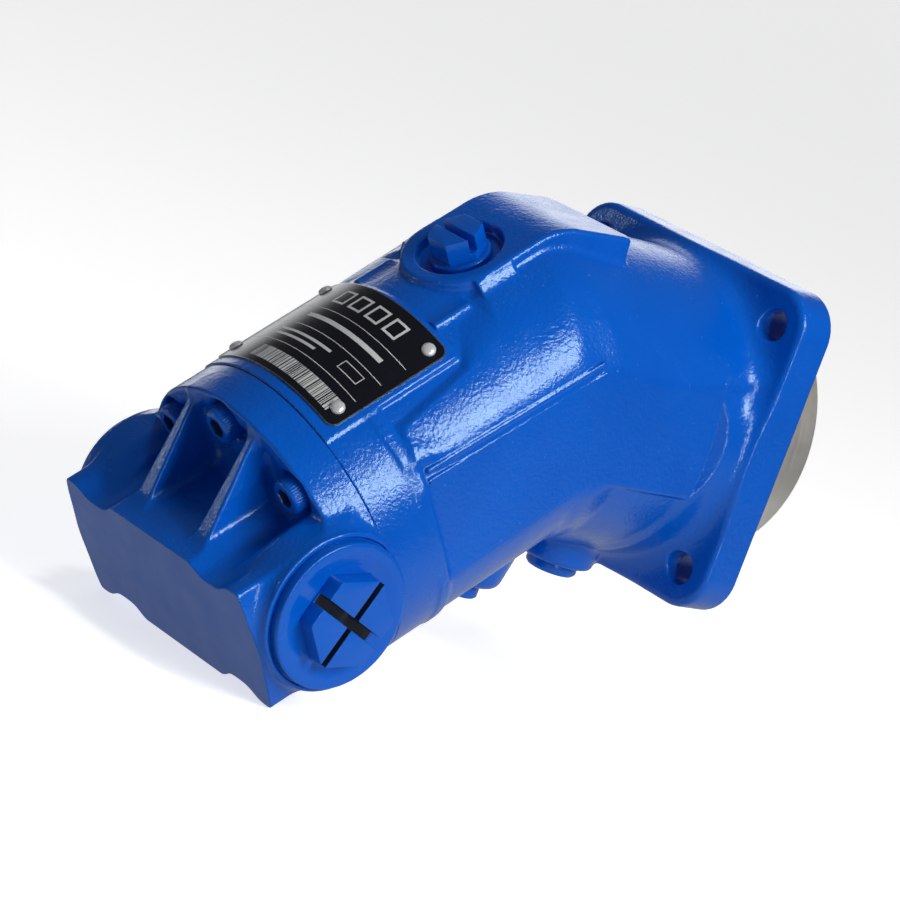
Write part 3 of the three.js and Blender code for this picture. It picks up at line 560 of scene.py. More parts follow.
def hexagon(across, turn=0.0):
    """Radius of a hexagon with a corner at the turn angle."""
    def radius(angle):
        folded = np.mod(angle - turn, math.pi / 3) - math.pi / 6
        return across / 2 / np.cos(folded)
    return radius


def knurled(radius, teeth, depth):
    """Radius of a screw head with rounded ridges along its side."""
    return lambda angle: radius - depth * (0.5 + 0.5 * np.cos(teeth * angle)) ** 2


def rounded_profile(corners, radius=0.25, steps=3):
    """A profile of (radius, height) corners with each inner corner rounded."""
    corners = [np.array(c, float) for c in corners]
    result = [corners[0]]
    for before, here, after in zip(corners, corners[1:], corners[2:]):
        a, b = before - here, after - here
        la, lb = np.linalg.norm(a), np.linalg.norm(b)
        reach = min(radius, la * 0.45, lb * 0.45)
        start, finish = here + a / la * reach, here + b / lb * reach
        for i in range(steps + 1):
            t = i / steps
            result.append((1 - t) ** 2 * start + 2 * t * (1 - t) * here + t * t * finish)
    result.append(corners[-1])
    return result


def lofted(name, rings, origin, up, forward, segments=96):
    """A closed piece from rings of (radius function, height), first and last closed with a cap."""
    up = np.array(up, float)
    forward = np.array(forward, float)
    across = np.cross(up, forward)
    angles = np.arange(segments) * 2 * math.pi / segments
    points = []
    for radius, height in rings:
        r = radius(angles)
        ring = np.outer(r * np.cos(angles), forward) + np.outer(r * np.sin(angles), across)
        points.append(origin + up * height + ring)
    points = np.concatenate(points)
    faces = []
    for ring in range(len(rings) - 1):
        base, above = ring * segments, (ring + 1) * segments
        for i in range(segments):
            j = (i + 1) % segments
            faces.append((base + i, base + j, above + j, above + i))
    mesh = bpy.data.meshes.new(name)
    first = tuple(reversed(range(segments)))
    last = tuple(range((len(rings) - 1) * segments, len(rings) * segments))
    mesh.from_pydata([tuple(p * MM) for p in points], [], faces + [first, last])
    mesh.validate()
    ob = new_object(name, mesh)
    smooth_by_angle(ob, 38)
    return ob


def smooth_by_angle(ob, degrees):
    """Smooth shading with hard edges where faces meet at more than this angle."""
    mesh = ob.data
    bm = bmesh.new()
    bm.from_mesh(mesh)
    bmesh.ops.recalc_face_normals(bm, faces=bm.faces)
    for face in bm.faces:
        face.smooth = True
    limit = math.radians(degrees)
    for edge in bm.edges:
        edge.smooth = len(edge.link_faces) == 2 and edge.calc_face_angle(0) < limit
    bm.to_mesh(mesh)
    bm.free()


def turned(name, profile, origin, up, forward, segments=96, radius=0.25):
    """A round piece from a profile of (radius, height) corners, which are rounded by the last value."""
    rings = [(circle(max(r, 0.01)), h) for r, h in rounded_profile(profile, radius)]
    return lofted(name, rings, origin, up, forward, segments)


def boxed(name, centre, axes, sizes):
    """A box cutter or plain block from its centre, three directions and three sizes."""
    bm = bmesh.new()
    bmesh.ops.create_cube(bm, size=1.0)
    turn = Matrix([list(a) for a in axes]).transposed()
    for v in bm.verts:
        local = Vector([v.co[i] * sizes[i] for i in range(3)])
        v.co = (Vector(centre) + turn @ local) * MM
    return object_from_bmesh(name, bm)


def apply_modifiers(ob):
    """Writes the modifiers of an object into its mesh."""
    evaluated = ob.evaluated_get(bpy.context.evaluated_depsgraph_get())
    mesh = bpy.data.meshes.new_from_object(evaluated)
    ob.modifiers.clear()
    old = ob.data
    ob.data = mesh
    bpy.data.meshes.remove(old)


def cut_out(ob, cutter):
    """Takes the cutter away from ob."""
    modifier = ob.modifiers.new("cut", "BOOLEAN")
    modifier.object = cutter
    modifier.operation = "DIFFERENCE"
    modifier.solver = "EXACT"
    apply_modifiers(ob)
    bpy.data.objects.remove(cutter)


def bevel_edges(ob, width):
    """Rounds the sharp edges of an object."""
    modifier = ob.modifiers.new("edges", "BEVEL")
    modifier.width = width * MM
    modifier.segments = 3
    modifier.limit_method = "ANGLE"
    modifier.angle_limit = math.radians(35)
    modifier.harden_normals = False
    apply_modifiers(ob)
    smooth_by_angle(ob, 50)


# ---------------------------------------------------------------- materials

class Look:
    """A small helper that wires one procedural material."""

    def __init__(self, name):
        self.material = bpy.data.materials.new(name)
        self.material.use_nodes = True
        self.tree = self.material.node_tree
        self.shader = self.tree.nodes["Principled BSDF"]
        self.place = self.tree.nodes.new("ShaderNodeTexCoord").outputs["Object"]

    def set(self, **values):
        for key, value in values.items():
            self.shader.inputs[key.replace("_", " ")].default_value = value

    def link(self, output, target):
        self.tree.links.new(output, target)

    def feed(self, name, output):
        """Links an output to a named input of the shader."""
        self.link(output, self.shader.inputs[name])

    def noise(self, scale, detail=3.0, roughness=0.5, stretch=None):
        node = self.tree.nodes.new("ShaderNodeTexNoise")
        node.inputs["Scale"].default_value = scale
        node.inputs["Detail"].default_value = detail
        node.inputs["Roughness"].default_value = roughness
        source = self.place
        if stretch:
            mapping = self.tree.nodes.new("ShaderNodeMapping")
            mapping.inputs["Scale"].default_value = stretch
            self.link(self.place, mapping.inputs["Vector"])
            source = mapping.outputs["Vector"]
        self.link(source, node.inputs["Vector"])
        return node.outputs["Fac"]

    def ramp(self, value, low, high, from_value=0.0, to_value=1.0):
        node = self.tree.nodes.new("ShaderNodeMapRange")
        node.inputs["From Min"].default_value = low
        node.inputs["From Max"].default_value = high
        node.inputs["To Min"].default_value = from_value
        node.inputs["To Max"].default_value = to_value
        self.link(value, node.inputs["Value"])
        return node.outputs["Result"]

    def maths(self, operation, a, b):
        node = self.tree.nodes.new("ShaderNodeMath")
        node.operation = operation
        for socket, value in zip(node.inputs, (a, b)):
            if isinstance(value, (int, float)):
                socket.default_value = value
            else:
                self.link(value, socket)
        return node.outputs["Value"]

    def mix(self, factor, first, second):
        node = self.tree.nodes.new("ShaderNodeMix")
        node.data_type = "RGBA"
        for socket, value in ((node.inputs[0], factor), (node.inputs[6], first), (node.inputs[7], second)):
            if isinstance(value, (int, float)):
                socket.default_value = value
            elif isinstance(value, tuple):
                socket.default_value = (*value, 1.0)
            else:
                self.link(value, socket)
        return node.outputs[2]

    def bump(self, layers):
        """Bump from (height output, depth in millimetres) layers, one over the other."""
        normal = None
        for height, depth in layers:
            node = self.tree.nodes.new("ShaderNodeBump")
            node.inputs["Distance"].default_value = depth * MM
            self.link(height, node.inputs["Height"])
            if normal is not None:
                self.link(normal, node.inputs["Normal"])
            normal = node.outputs["Normal"]
        self.feed("Normal", normal)
        return normal


PAINT = (0.0, 0.117, 0.64)
PAINT_DEEP = (0.0, 0.098, 0.56)
BLUE_SHEEN = (0.64, 0.96, 1.0)
WHITE_SHEEN = (1.0, 1.0, 1.0)


def paint(name, peel=0.16, wave=0.25, roughness=0.2, deep=PAINT_DEEP, light=PAINT, sheen=BLUE_SHEEN):
    """Gloss enamel: peel and wave are the depths of its fine and coarse ripple in millimetres."""
    look = Look(name)
    tone = look.ramp(look.noise(26.0, 4.0), 0.30, 0.70)
    colour = look.mix(tone, deep, light)
    speck = look.ramp(look.noise(900.0, 1.0), 0.77, 0.80)
    colour = look.mix(look.maths("MULTIPLY", speck, 0.35), colour, (0.15, 0.30, 0.75))
    look.feed("Base Color", colour)
    rough = look.ramp(look.noise(120.0, 3.0), 0.3, 0.7, roughness - 0.05, roughness + 0.08)
    look.feed("Roughness", rough)
    look.set(IOR=1.5, Coat_Weight=0.2, Coat_Roughness=0.06, Specular_Tint=(*sheen, 1.0))
    normal = look.bump([(look.noise(75.0, 2.0), wave), (look.noise(880.0, 2.0, 0.55), peel)])
    look.feed("Coat Normal", normal)
    return look.material


def metal(name, colour, roughness):
    """Bare metal with stains and a fine grain."""
    look = Look(name)
    look.set(Metallic=1.0)
    stained = tuple(c * 0.6 for c in colour)
    shade = look.mix(look.ramp(look.noise(60.0, 3.0), 0.3, 0.7), stained, colour)
    look.feed("Base Color", shade)
    grain = look.noise(900.0, 4.0, 0.6)
    rough = look.ramp(grain, 0.3, 0.7, roughness - 0.08, roughness + 0.1)
    look.feed("Roughness", rough)
    look.bump([(grain, 0.01)])
    return look.material


def turned_steel(name):
    """Bare turned steel: fine rings about the shaft axis and faint stains."""
    look = Look(name)
    look.set(Metallic=1.0)
    rings = look.noise(1.0, 3.0, 0.6, (5200.0, 14.0, 14.0))
    stain = look.ramp(look.noise(45.0, 4.0, 0.6), 0.35, 0.7)
    colour = look.mix(stain, (0.84, 0.81, 0.77), (0.66, 0.63, 0.58))
    look.feed("Base Color", colour)
    look.feed("Roughness", look.ramp(rings, 0.3, 0.7, 0.42, 0.60))
    look.bump([(rings, 0.012)])
    return look.material


def plain(name, colour, roughness, metallic=0.0, depth=0.01, scale=500.0, vary=0.75, spread=0.07):
    """A material whose colour varies a little and whose fine ripple is depth millimetres deep."""
    look = Look(name)
    look.set(Metallic=metallic)
    darker = tuple(c * vary for c in colour)
    shade = look.mix(look.ramp(look.noise(80.0, 3.0), 0.3, 0.7), darker, colour)
    look.feed("Base Color", shade)
    fine = look.noise(scale, 3.0)
    rough = look.ramp(fine, 0.3, 0.7, roughness - spread, roughness + spread)
    look.feed("Roughness", rough)
    look.bump([(fine, depth)])
    return look.material


CAST_PAINT = paint("cast_paint")
# Painted shade: a darker copy of the blue paint for the walls and floor of the screw sockets, where the hole
# lies in shade.
SOCKET_PAINTED_SHADE = plain("socket_painted_shade", (0.002, 0.028, 0.15), 0.5)
# Painted shade: near-black for the walls and floor of the plug slots, where the narrow slots lie in shade.
SLOT_PAINTED_SHADE = plain("slot_painted_shade", (0.002, 0.008, 0.03), 0.6)
END_PAINT = paint("end_face_paint", peel=0.012, wave=0.05, roughness=0.36, deep=(0.008, 0.110, 0.50),
                  light=(0.012, 0.125, 0.56), sheen=WHITE_SHEEN)
BOLT_PAINT = paint("fastener_paint", peel=0.03, wave=0.1, roughness=0.2)
TURNED = turned_steel("turned_steel")
GROUND = metal("ground_steel", (0.62, 0.61, 0.59), 0.25)
DARK_STEEL = metal("dark_steel", (0.30, 0.30, 0.31), 0.38)
BORED_IRON = metal("bored_iron", (0.34, 0.33, 0.32), 0.45)
BRONZE = metal("bronze", (0.62, 0.43, 0.2), 0.33)
RUBBER = plain("rubber", (0.02, 0.02, 0.022), 0.6, depth=0.02)
PLATE_BLACK = plain("plate_black", (0.006, 0.007, 0.012), 0.24, depth=0.0015, scale=1500.0, spread=0.02)
PLATE_EDGE = metal("plate_edge", (0.62, 0.6, 0.57), 0.3)
PLATE_PRINT = plain("plate_print", (0.72, 0.73, 0.74), 0.4, depth=0.003)
RIVET_METAL = plain("rivet_metal", (0.80, 0.82, 0.85), 0.3, metallic=0.35, depth=0.02, scale=400.0,
                    vary=0.85)


def dress(ob, *materials):
    """Gives an object its materials, in the order of its slots."""
    ob.data.materials.clear()
    for material in materials:
        ob.data.materials.append(material)


# ---------------------------------------------------------------- pieces

def add_piece(ob, node, slot, *materials, body="housing"):
    """Dresses an object and makes it move with a body and stand for a node of the frame."""
    dress(ob, *materials)
    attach(ob, body)
    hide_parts(node)


def assign_faces(ob, choose):
    """Sets the material slot of each face from its centre and normal, in millimetres."""
    mesh = ob.data
    count = len(mesh.polygons)
    centre = np.zeros(count * 3, np.float32)
    normal = np.zeros(count * 3, np.float32)
    mesh.polygons.foreach_get("center", centre)
    mesh.polygons.foreach_get("normal", normal)
    index = choose(centre.reshape(-1, 3) / MM, normal.reshape(-1, 3))
    mesh.polygons.foreach_set("material_index", index.astype(np.int32))


def case_slots(centre, normal):
    """Slot 1 for the turned mounting face, 2 for the bores and the joint face, 0 for the painted rest."""
    l, y, n = barrel_coordinates(centre)
    x, z = centre[:, 0], centre[:, 2]
    face = (x > FACE_X - 0.1) & (normal[:, 0] > 0.8)
    in_bore = (np.hypot(y, n) < CASE_BORE_R + 0.3) & (l > 0) & (l < SEAM_L)
    in_bore |= (np.hypot(y, z) < REAR_CUP_R + 0.35) & (x > PIVOT_X - 1)
    in_bore |= np.linalg.norm(centre - PIVOT.astype(centre.dtype), axis=1) < KNEE_R + 0.3
    in_bore |= (l > SEAM_L - 0.2) & (normal @ C.astype(normal.dtype) > 0.97)
    return np.where(face, 1, np.where(in_bore, 2, 0))


def make_housing():
    low, high = (-200, -49, -85), (FACE_X + 1.5, 49, 50)
    ob, _, _ = cast_piece("housing_casting", case_field, low, high, STEP)
    add_piece(ob, "housing", "paint", CAST_PAINT, TURNED, BORED_IRON)
    assign_faces(ob, case_slots)
    profile = [
        (SPIGOT_BORE_R, -6), (SPIGOT_R, -6), (SPIGOT_R, SPIGOT_RISE - 1.4), (SPIGOT_R - 1.4, SPIGOT_RISE),
        (SPIGOT_BORE_R + 2.25, SPIGOT_RISE), (SPIGOT_BORE_R, SPIGOT_RISE - 3.0), (SPIGOT_BORE_R, -6),
    ]
    spigot = ring_piece("housing_spigot", profile, np.array([FACE_X, 0, 0]), X, Z, 144)
    add_piece(spigot, "housing", "paint", TURNED)


def ring_piece(name, profile, origin, up, forward, segments=96):
    """A turned ring whose profile closes on itself."""
    up, forward = np.array(up, float), np.array(forward, float)
    across = np.cross(up, forward)
    points, faces = [], []
    corners = profile[:-1]
    count = len(corners)
    for i in range(segments):
        a = 2 * math.pi * i / segments
        out = forward * math.cos(a) + across * math.sin(a)
        points += [tuple((origin + up * h + out * r) * MM) for r, h in corners]
    for i in range(segments):
        j = (i + 1) % segments
        for k in range(count):
            m = (k + 1) % count
            faces.append((i * count + k, j * count + k, j * count + m, i * count + m))
    mesh = bpy.data.meshes.new(name)
    mesh.from_pydata(points, [], faces)
    ob = new_object(name, mesh)
    smooth_by_angle(ob, 30)
    return ob


def port_plate_slots(centre, normal):
    """Slot 1 for the flat end face, 2 for the ports and the joint face, 0 for the rest."""
    l, _, n = barrel_coordinates(centre)
    along = normal @ C.astype(normal.dtype)
    end = (l > END_L - 0.25) & (along > 0.9)
    bore = (np.hypot(l - PORT_L, n) < PORT_R + 0.4) | ((l < SEAM_L + 0.15) & (along < -0.97))
    return np.where(end, 1, np.where(bore, 2, 0))


def make_port_plate():
    low, high = (SEAM_L - 1.2, -45.2, -45.2), (117.2, 45.2, 45.2)
    ob, points, normals = cast_piece("port_plate_casting", plate_field, low, high, PLATE_STEP)
    turn_to_pump(ob, points, normals)
    add_piece(ob, "port_plate", "port_plate_paint", CAST_PAINT, END_PAINT, BORED_IRON)
    assign_faces(ob, port_plate_slots)
    low, high = (69, -33, -33), (75.5, 33, 33)
    ob, points, normals = cast_piece("port_plate_spigot", plate_spigot_field, low, high, 0.8)
    turn_to_pump(ob, points, normals)
    add_piece(ob, "port_plate", "port_plate_paint", BORED_IRON)


def turn_to_pump(ob, points, normals):
    """Moves a mesh made in barrel coordinates (l, y, n) to the frame of the pump."""
    basis = np.stack([C, Y, N])
    placed = PIVOT + points @ basis
    ob.data.vertices.foreach_set("co", (placed * MM).astype(np.float32).ravel())
    ob.data.flip_normals()
    ob.data.normals_split_custom_set_from_vertices((normals @ basis).astype(np.float32))
    ob.data.update()


def make_cap_screw(index, degrees):
    """An M6 socket-head screw whose socket is turned at random."""
    a = math.radians(degrees)
    origin = in_barrel(SCREW_SEAT_L + 0.1, SCREW_PCR * math.sin(a), SCREW_PCR * math.cos(a))
    head = knurled(SCREW_HEAD_R, 40, 0.16)
    turn = random.uniform(0, math.pi / 3)
    socket = hexagon(SCREW_SOCKET, turn)
    rings = [
        (circle(SCREW_R), -24.0), (circle(SCREW_R), 0.0), (circle(4.7), 0.0), (head, 0.35), (head, 5.0),
        (circle(4.85), 5.25), (circle(4.55), 5.75), (circle(4.2), 5.95), (circle(3.2), 6.0),
        (hexagon(SCREW_SOCKET + 0.2, turn), 5.95), (socket, 5.7), (socket, 3.0), (circle(0.2), 2.3),
    ]
    ob = lofted(f"cap_screw_{index}_body", rings, origin, C, N, 240)
    add_piece(ob, f"cap_screw_{index}", "fastener_paint", BOLT_PAINT, SOCKET_PAINTED_SHADE)

    def choose(centre, _):
        away = centre - origin.astype(centre.dtype)
        height = away @ C.astype(centre.dtype)
        reach = np.sqrt(np.maximum((away * away).sum(1) - height ** 2, 0))
        # The socket's walls and floor take the painted shade.
        return np.where((reach < 3.0) & (height > 1.0) & (height < 5.6), 1, 0)

    assign_faces(ob, choose)


def make_port_plug(side, node):
    """A port plug: a dished disc with a hexagon on it that has a wide and a narrow slot across."""
    out = Y * side
    origin = in_barrel(PORT_L, 0, 0)
    disc = [
        (0, 29), (9.8, 29), (9.8, 43.5), (20.2, 43.5), (20.2, 46.3), (19.4, 46.5), (17.2, 46.45),
        (14.2, 45.95), (0, 45.9),
    ]
    cap = turned(f"{node}_cap", disc, origin, out, C, 160, 0.35)
    add_piece(cap, node, "fastener_paint", BOLT_PAINT)
    outline = hexagon(PORT_HEXAGON, PORT_PLUG_TURN * side)
    head = lofted(f"{node}_hexagon", [(outline, 45.6), (outline, 51.1)], origin, out, C, 96)
    flat_angle = PORT_PLUG_TURN + math.pi / 2
    flat_way = C * math.cos(flat_angle) + N * math.sin(flat_angle)
    corner_way = C * math.cos(PORT_PLUG_TURN) + N * math.sin(PORT_PLUG_TURN)
    for long_way, wide_way, wide in ((flat_way, corner_way, 2.9), (corner_way, flat_way, 1.9)):
        axes = (long_way, wide_way, np.cross(long_way, wide_way))
        cut_out(head, boxed("slot", origin + out * 49.9, axes, (34, wide, 6.6)))
    bevel_edges(head, 0.3)
    add_piece(head, node, "fastener_paint", BOLT_PAINT, SLOT_PAINTED_SHADE)

    def choose(centre, _):
        away = centre - origin.astype(centre.dtype)
        height = away @ out.astype(centre.dtype)
        along = away @ flat_way.astype(centre.dtype)
        wide = away @ corner_way.astype(centre.dtype)
        in_slot = (np.abs(wide) < 1.5) | ((np.abs(along) < 1.0) & (np.abs(wide) < 12.6))
        # The slots' walls and floor take the near-black painted shade.
        return np.where(in_slot & (height < 50.7) & (height > 46.6), 1, 0)

    assign_faces(head, choose)


def make_upper_drain_plug():
    origin = in_barrel(DRAIN_L, 0, 0)
    floor = DRAIN_FLOOR_N + SEAT_GAP
    collar = [
        (0, 33), (5.8, 33), (5.8, floor), (8.5, floor), (8.5, floor + 1.7), (8.0, floor + 2.1),
        (0, floor + 2.1),
    ]
    body = turned("drain_plug_upper_collar", collar, origin, N, C, 96, 0.3)
    add_piece(body, "drain_plug_upper", "fastener_paint", BOLT_PAINT)
    outline = hexagon(DRAIN_HEXAGON, math.pi / 6)
    head = lofted("drain_plug_upper_head", [(outline, floor + 1.2), (outline, 50.3)], origin, N, C, 96)
    cut_out(head, boxed("slot", origin + N * 49.4, (Y, C, N), (30, 2.4, 7.0)))
    bevel_edges(head, 0.35)
    add_piece(head, "drain_plug_upper", "fastener_paint", BOLT_PAINT)


def make_lower_plug(node, x, face, profile, socket):
    """A round-headed screw underneath with a hexagon socket of the given width."""
    rings = [(circle(max(r, 0.01)), h) for r, h in rounded_profile(profile, 0.3)]
    top = profile[-1][1]
    rings += [
        (hexagon(socket + 0.2), top), (hexagon(socket), top - 0.25), (hexagon(socket), 0.9),
        (circle(0.1), 0.6),
    ]
    origin = np.array([x, 0, 0]) - Z * (face + SEAT_GAP)
    ob = lofted(f"{node}_body", rings, origin, -Z, X, 120)
    add_piece(ob, node, "fastener_paint", BOLT_PAINT)


def make_lower_plugs():
    drain = ((0, -11), (4.9, -11), (4.9, 0), (7.5, 0), (7.5, 2.6), (6.7, 3.4))
    make_lower_plug("drain_plug_lower", LOWER_DRAIN_X, LOWER_DRAIN_FACE, drain, 6.0)
    bleed = ((0, -11), (3.9, -11), (3.9, 0), (5.6, 0), (5.6, 3.6), (4.9, 4.2))
    make_lower_plug("bleed_screw", BLEED_X, BLEED_FACE, bleed, 4.0)


def on_plate(l, s, h):
    """A point on the nameplate from its distance along the barrel, its arc length and its height."""
    angle = s / PLATE_R
    r = PLATE_R + h
    return in_barrel(l, r * math.sin(angle), r * math.cos(angle))


def plate_sheet(name, outlines, low, high):
    """Thin sheets bent round the barrel, from closed (l, s) outlines."""
    bm = bmesh.new()
    for outline in outlines:
        verts = [bm.verts.new((l, s, low)) for l, s in outline]
        face = bm.faces.new(verts)
        lifted = bmesh.ops.extrude_face_region(bm, geom=[face])
        moved = [g for g in lifted["geom"] if isinstance(g, bmesh.types.BMVert)]
        bmesh.ops.translate(bm, verts=moved, vec=(0, 0, high - low))
    for i in range(-18, 19):
        geometry = bm.verts[:] + bm.edges[:] + bm.faces[:]
        bmesh.ops.bisect_plane(bm, geom=geometry, plane_co=(0, i * 1.5, 0), plane_no=(0, 1, 0))
    for v in bm.verts:
        v.co = Vector(on_plate(*v.co)) * MM
    bmesh.ops.recalc_face_normals(bm, faces=bm.faces)
    ob = object_from_bmesh(name, bm)
    smooth_by_angle(ob, 30)
    return ob


def rounded_outline(l0, l1, half, radius, steps=6):
    """A rectangle from l0 to l1 and half wide to either side, with rounded corners."""
    points = []
    s = half - radius
    corners = ((l1 - radius, s), (l0 + radius, s), (l0 + radius, -s), (l1 - radius, -s))
    for quarter, (l, s) in enumerate(corners):
        for i in range(steps + 1):
            a = math.radians(90 * quarter + 90 * i / steps)
            points.append((l + radius * math.cos(a), s + radius * math.sin(a)))
    return points


def box_outline(l0, l1, s0, s1):
    return [(l1, s1), (l0, s1), (l0, s0), (l1, s0)]


def frame_outlines(l0, l1, s0, s1, width):
    """The four bars of an empty frame."""
    inner_l0, inner_l1 = l0 + width, l1 - width
    return [
        box_outline(l0, inner_l0, s0, s1),
        box_outline(inner_l1, l1, s0, s1),
        box_outline(inner_l0, inner_l1, s0, s0 + width),
        box_outline(inner_l0, inner_l1, s1 - width, s1),
    ]


def bar_row():
    """A random row of thin bars that stands for nothing."""
    bars = random.Random(7)
    row = []
    s = -22.0
    while s < 10.0:
        wide = bars.choice((0.25, 0.35, 0.5, 0.8))
        row.append(box_outline(63.2, 68.2, s, s + wide))
        s += wide + bars.choice((0.22, 0.3, 0.45))
    return row


def nameplate_marks():
    """Rules, plain bars and empty frames in place of lettering."""
    marks = [box_outline(l, l + 0.22, -24.5, 24.5) for l in (43.6, 51.8, 60.2)]
    marks += bar_row()
    for l, s0, s1, wide in ((46.6, -19, 12, 1.5), (54.6, -8, 14, 0.9), (56.8, -4, 14, 0.9)):
        marks.append(box_outline(l, l + wide, s0, s1))
    for k in range(4):
        s = -15.6 + 7.2 * k
        marks += frame_outlines(34.6, 40.4, s, s + 5.2, 0.75)
    marks += frame_outlines(54.0, 57.2, -20.5, -13.0, 0.25)
    return marks


def make_nameplate():
    low, high, half = 31.0, 70.4, math.radians(35) * PLATE_R
    rim = 0.28
    sheet_outline = rounded_outline(low, high, half, 2.6)
    enamel_outline = rounded_outline(low + rim, high - rim, half - rim, 2.4)
    enamel_top = PLATE_T + ENAMEL_T
    for name, outlines, bottom, top, material in (
        ("nameplate_sheet", [sheet_outline], 0.0, PLATE_T, PLATE_EDGE),
        ("nameplate_enamel", [enamel_outline], PLATE_T, enamel_top, PLATE_BLACK),
        ("nameplate_print", nameplate_marks(), enamel_top, enamel_top + PRINT_T, PLATE_PRINT),
    ):
        layer = plate_sheet(name, outlines, bottom, top)
        add_piece(layer, "nameplate", "nameplate", material)


def make_rivet(index, l, degrees):
    """A domed rivet through the nameplate."""
    a = math.radians(degrees)
    out = N * math.cos(a) + Y * math.sin(a)
    origin = in_barrel(l, 0, 0) + out * (PLATE_R + PLATE_T + 0.04)
    shank_r, head_r, steps = 0.8, 1.95, 8
    rings = [(circle(shank_r), -2.5), (circle(shank_r), 0.0), (circle(head_r), 0.0)]
    for step in range(1, steps + 1):
        t = step / steps * math.pi / 2
        rings.append((circle(max(head_r * math.cos(t), 0.01)), 0.25 + 1.05 * math.sin(t)))
    rivet = lofted(f"rivet_{index}_head", rings, origin, out, C, 48)
    add_piece(rivet, f"rivet_{index}", "rivet", RIVET_METAL)


def spline_radius(teeth, root, tip):
    """Radius of a splined ring."""
    def radius(angle):
        phase = np.abs(np.mod(angle * teeth / (2 * math.pi), 1.0) - 0.5) * 2
        return root + (tip - root) * ramp(0.28, 0.62, phase)
    return radius


def make_shaft():
    """The splined shaft, its bearing seats and the flange with the ball sockets."""
    toothed = spline_radius(SPLINE_TEETH, SPLINE_ROOT_R, SPLINE_TIP_R)
    chamfered = spline_radius(SPLINE_TEETH, SPLINE_ROOT_R, SPLINE_ROOT_R + 0.25)
    steps = (
        (12.3, -31.5), (13.9, -33.0), (13.9, -55.4), (15.0, -56.0), (15.0, -77.0), (17.5, -77.0),
        (17.5, -96.3), (20.5, -96.3), (20.5, -98.0), (24.0, -98.0), (25.0, -99.0),
        (25.0, PIVOT_X + 1.5), (0.01, PIVOT_X + 1.5),
    )
    rings = [(circle(0.01), 0.0), (circle(10.6), 0.0), (circle(11.0), -0.3)]
    rings += [(chamfered, -0.5), (toothed, -1.7), (toothed, -30.2)]
    rings += [(circle(r), x) for r, x in steps]
    ob = lofted("drive_shaft_body", rings[::-1], np.zeros(3), X, Z, 216)
    cut_out(ob, round_cutter(PIVOT, 6.0))
    for k in range(SHAFT_BALLS):
        a = 2 * math.pi * k / SHAFT_BALLS
        out = -Y * math.sin(a) + Z * math.cos(a)
        cut_out(ob, round_cutter(PIVOT + out * SHAFT_BALL_PCR, 5.5))
    smooth_by_angle(ob, 35)
    add_piece(ob, "drive_shaft", "steel", GROUND, body="shaft")


def round_cutter(centre, radius):
    """A ball to cut a socket with."""
    bm = bmesh.new()
    bmesh.ops.create_uvsphere(bm, u_segments=32, v_segments=20, radius=radius * MM)
    bmesh.ops.translate(bm, verts=bm.verts, vec=Vector(centre) * MM)
    return object_from_bmesh("socket", bm)


def make_shaft_seal():
    lip = 14.05
    profile = [
        (lip, -49.6), (lip + 0.5, -52), (lip + 2.2, -53.4), (21.0, -54), (22.0, -53.2), (22.0, -46.4),
        (20.8, -46.4), (20.8, -52), (lip + 3, -51.6), (lip + 1.2, -48.6), (lip, -49.6),
    ]
    seal = ring_piece("shaft_seal_ring", profile, np.zeros(3), X, Z, 120)
    add_piece(seal, "shaft_seal", "rubber", RUBBER)


INSIDE = (
    (DARK_STEEL, ("piston_ring", "rear_roller", "front_roller", "retaining", "seal_circlip", "block_spring")),
    (GROUND, ("piston", "rear_bearing", "front_bearing", "centre_pin", "spring_seat", "valve_dowel")),
    (BRONZE, ("cylinder_block", "valve_plate")),
    (RUBBER, ("case_seal",)),
)


def dress_inside_nodes():
    """Gives each inside node the material of the first group that has the start of its name."""
    for name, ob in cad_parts.items():
        for material, starts in INSIDE:
            if name.startswith(starts):
                dress(ob, material)
                break


# ---------------------------------------------------------------- stage, light and camera

def make_stage():
    """A pale floor. The pump sees a duller floor than the camera does, so its underside stays dark."""
    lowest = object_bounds()[0][2] / MM
    floor = boxed("floor", (0, 0, lowest - 5.2), (X, Y, Z), (60000, 60000, 10))
    look = Look("floor_white")
    seen = look.tree.nodes.new("ShaderNodeLightPath").outputs["Is Camera Ray"]
    pale = look.mix(look.noise(2.0, 2.0), (0.80, 0.80, 0.81), (0.83, 0.83, 0.84))
    look.feed("Base Color", look.mix(seen, (0.16, 0.165, 0.175), pale))
    look.set(Roughness=0.9, Emission_Color=(1.0, 1.0, 1.0, 1.0))
    away = look.tree.nodes.new("ShaderNodeVectorMath")
    away.operation = "DISTANCE"
    away.inputs[1].default_value = Vector(CENTRE) * MM
    look.link(look.place, away.inputs[0])
    glow = look.ramp(away.outputs["Value"], 0.18, 0.50, 0.33, 0.02)
    strength = look.maths("MAXIMUM", look.maths("MULTIPLY", seen, 0.68), glow)
    look.feed("Emission Strength", strength)
    dress(floor, look.material)


def area_light(name, direction, distance, size, power, height=None):
    """A rectangular light that faces the pump from a direction and a distance in metres."""
    data = bpy.data.lights.new(name, "AREA")
    data.shape = "RECTANGLE"
    data.size = size
    data.size_y = height or size
    data.energy = power
    ob = new_object(name, data)
    way = Vector(direction).normalized()
    ob.location = Vector(CENTRE) * MM + way * distance
    ob.rotation_euler = way.to_track_quat("Z", "Y").to_euler()
    return ob


CENTRE = (-115.0, 0.0, -25.0)
CAMERA_AT = (-798.5, -681.0, 157.5)
CAMERA_AIM = (-119.4, 0.9, -24.3)
CAMERA_ROLL = 20.33
CAMERA_LENS = 143.9


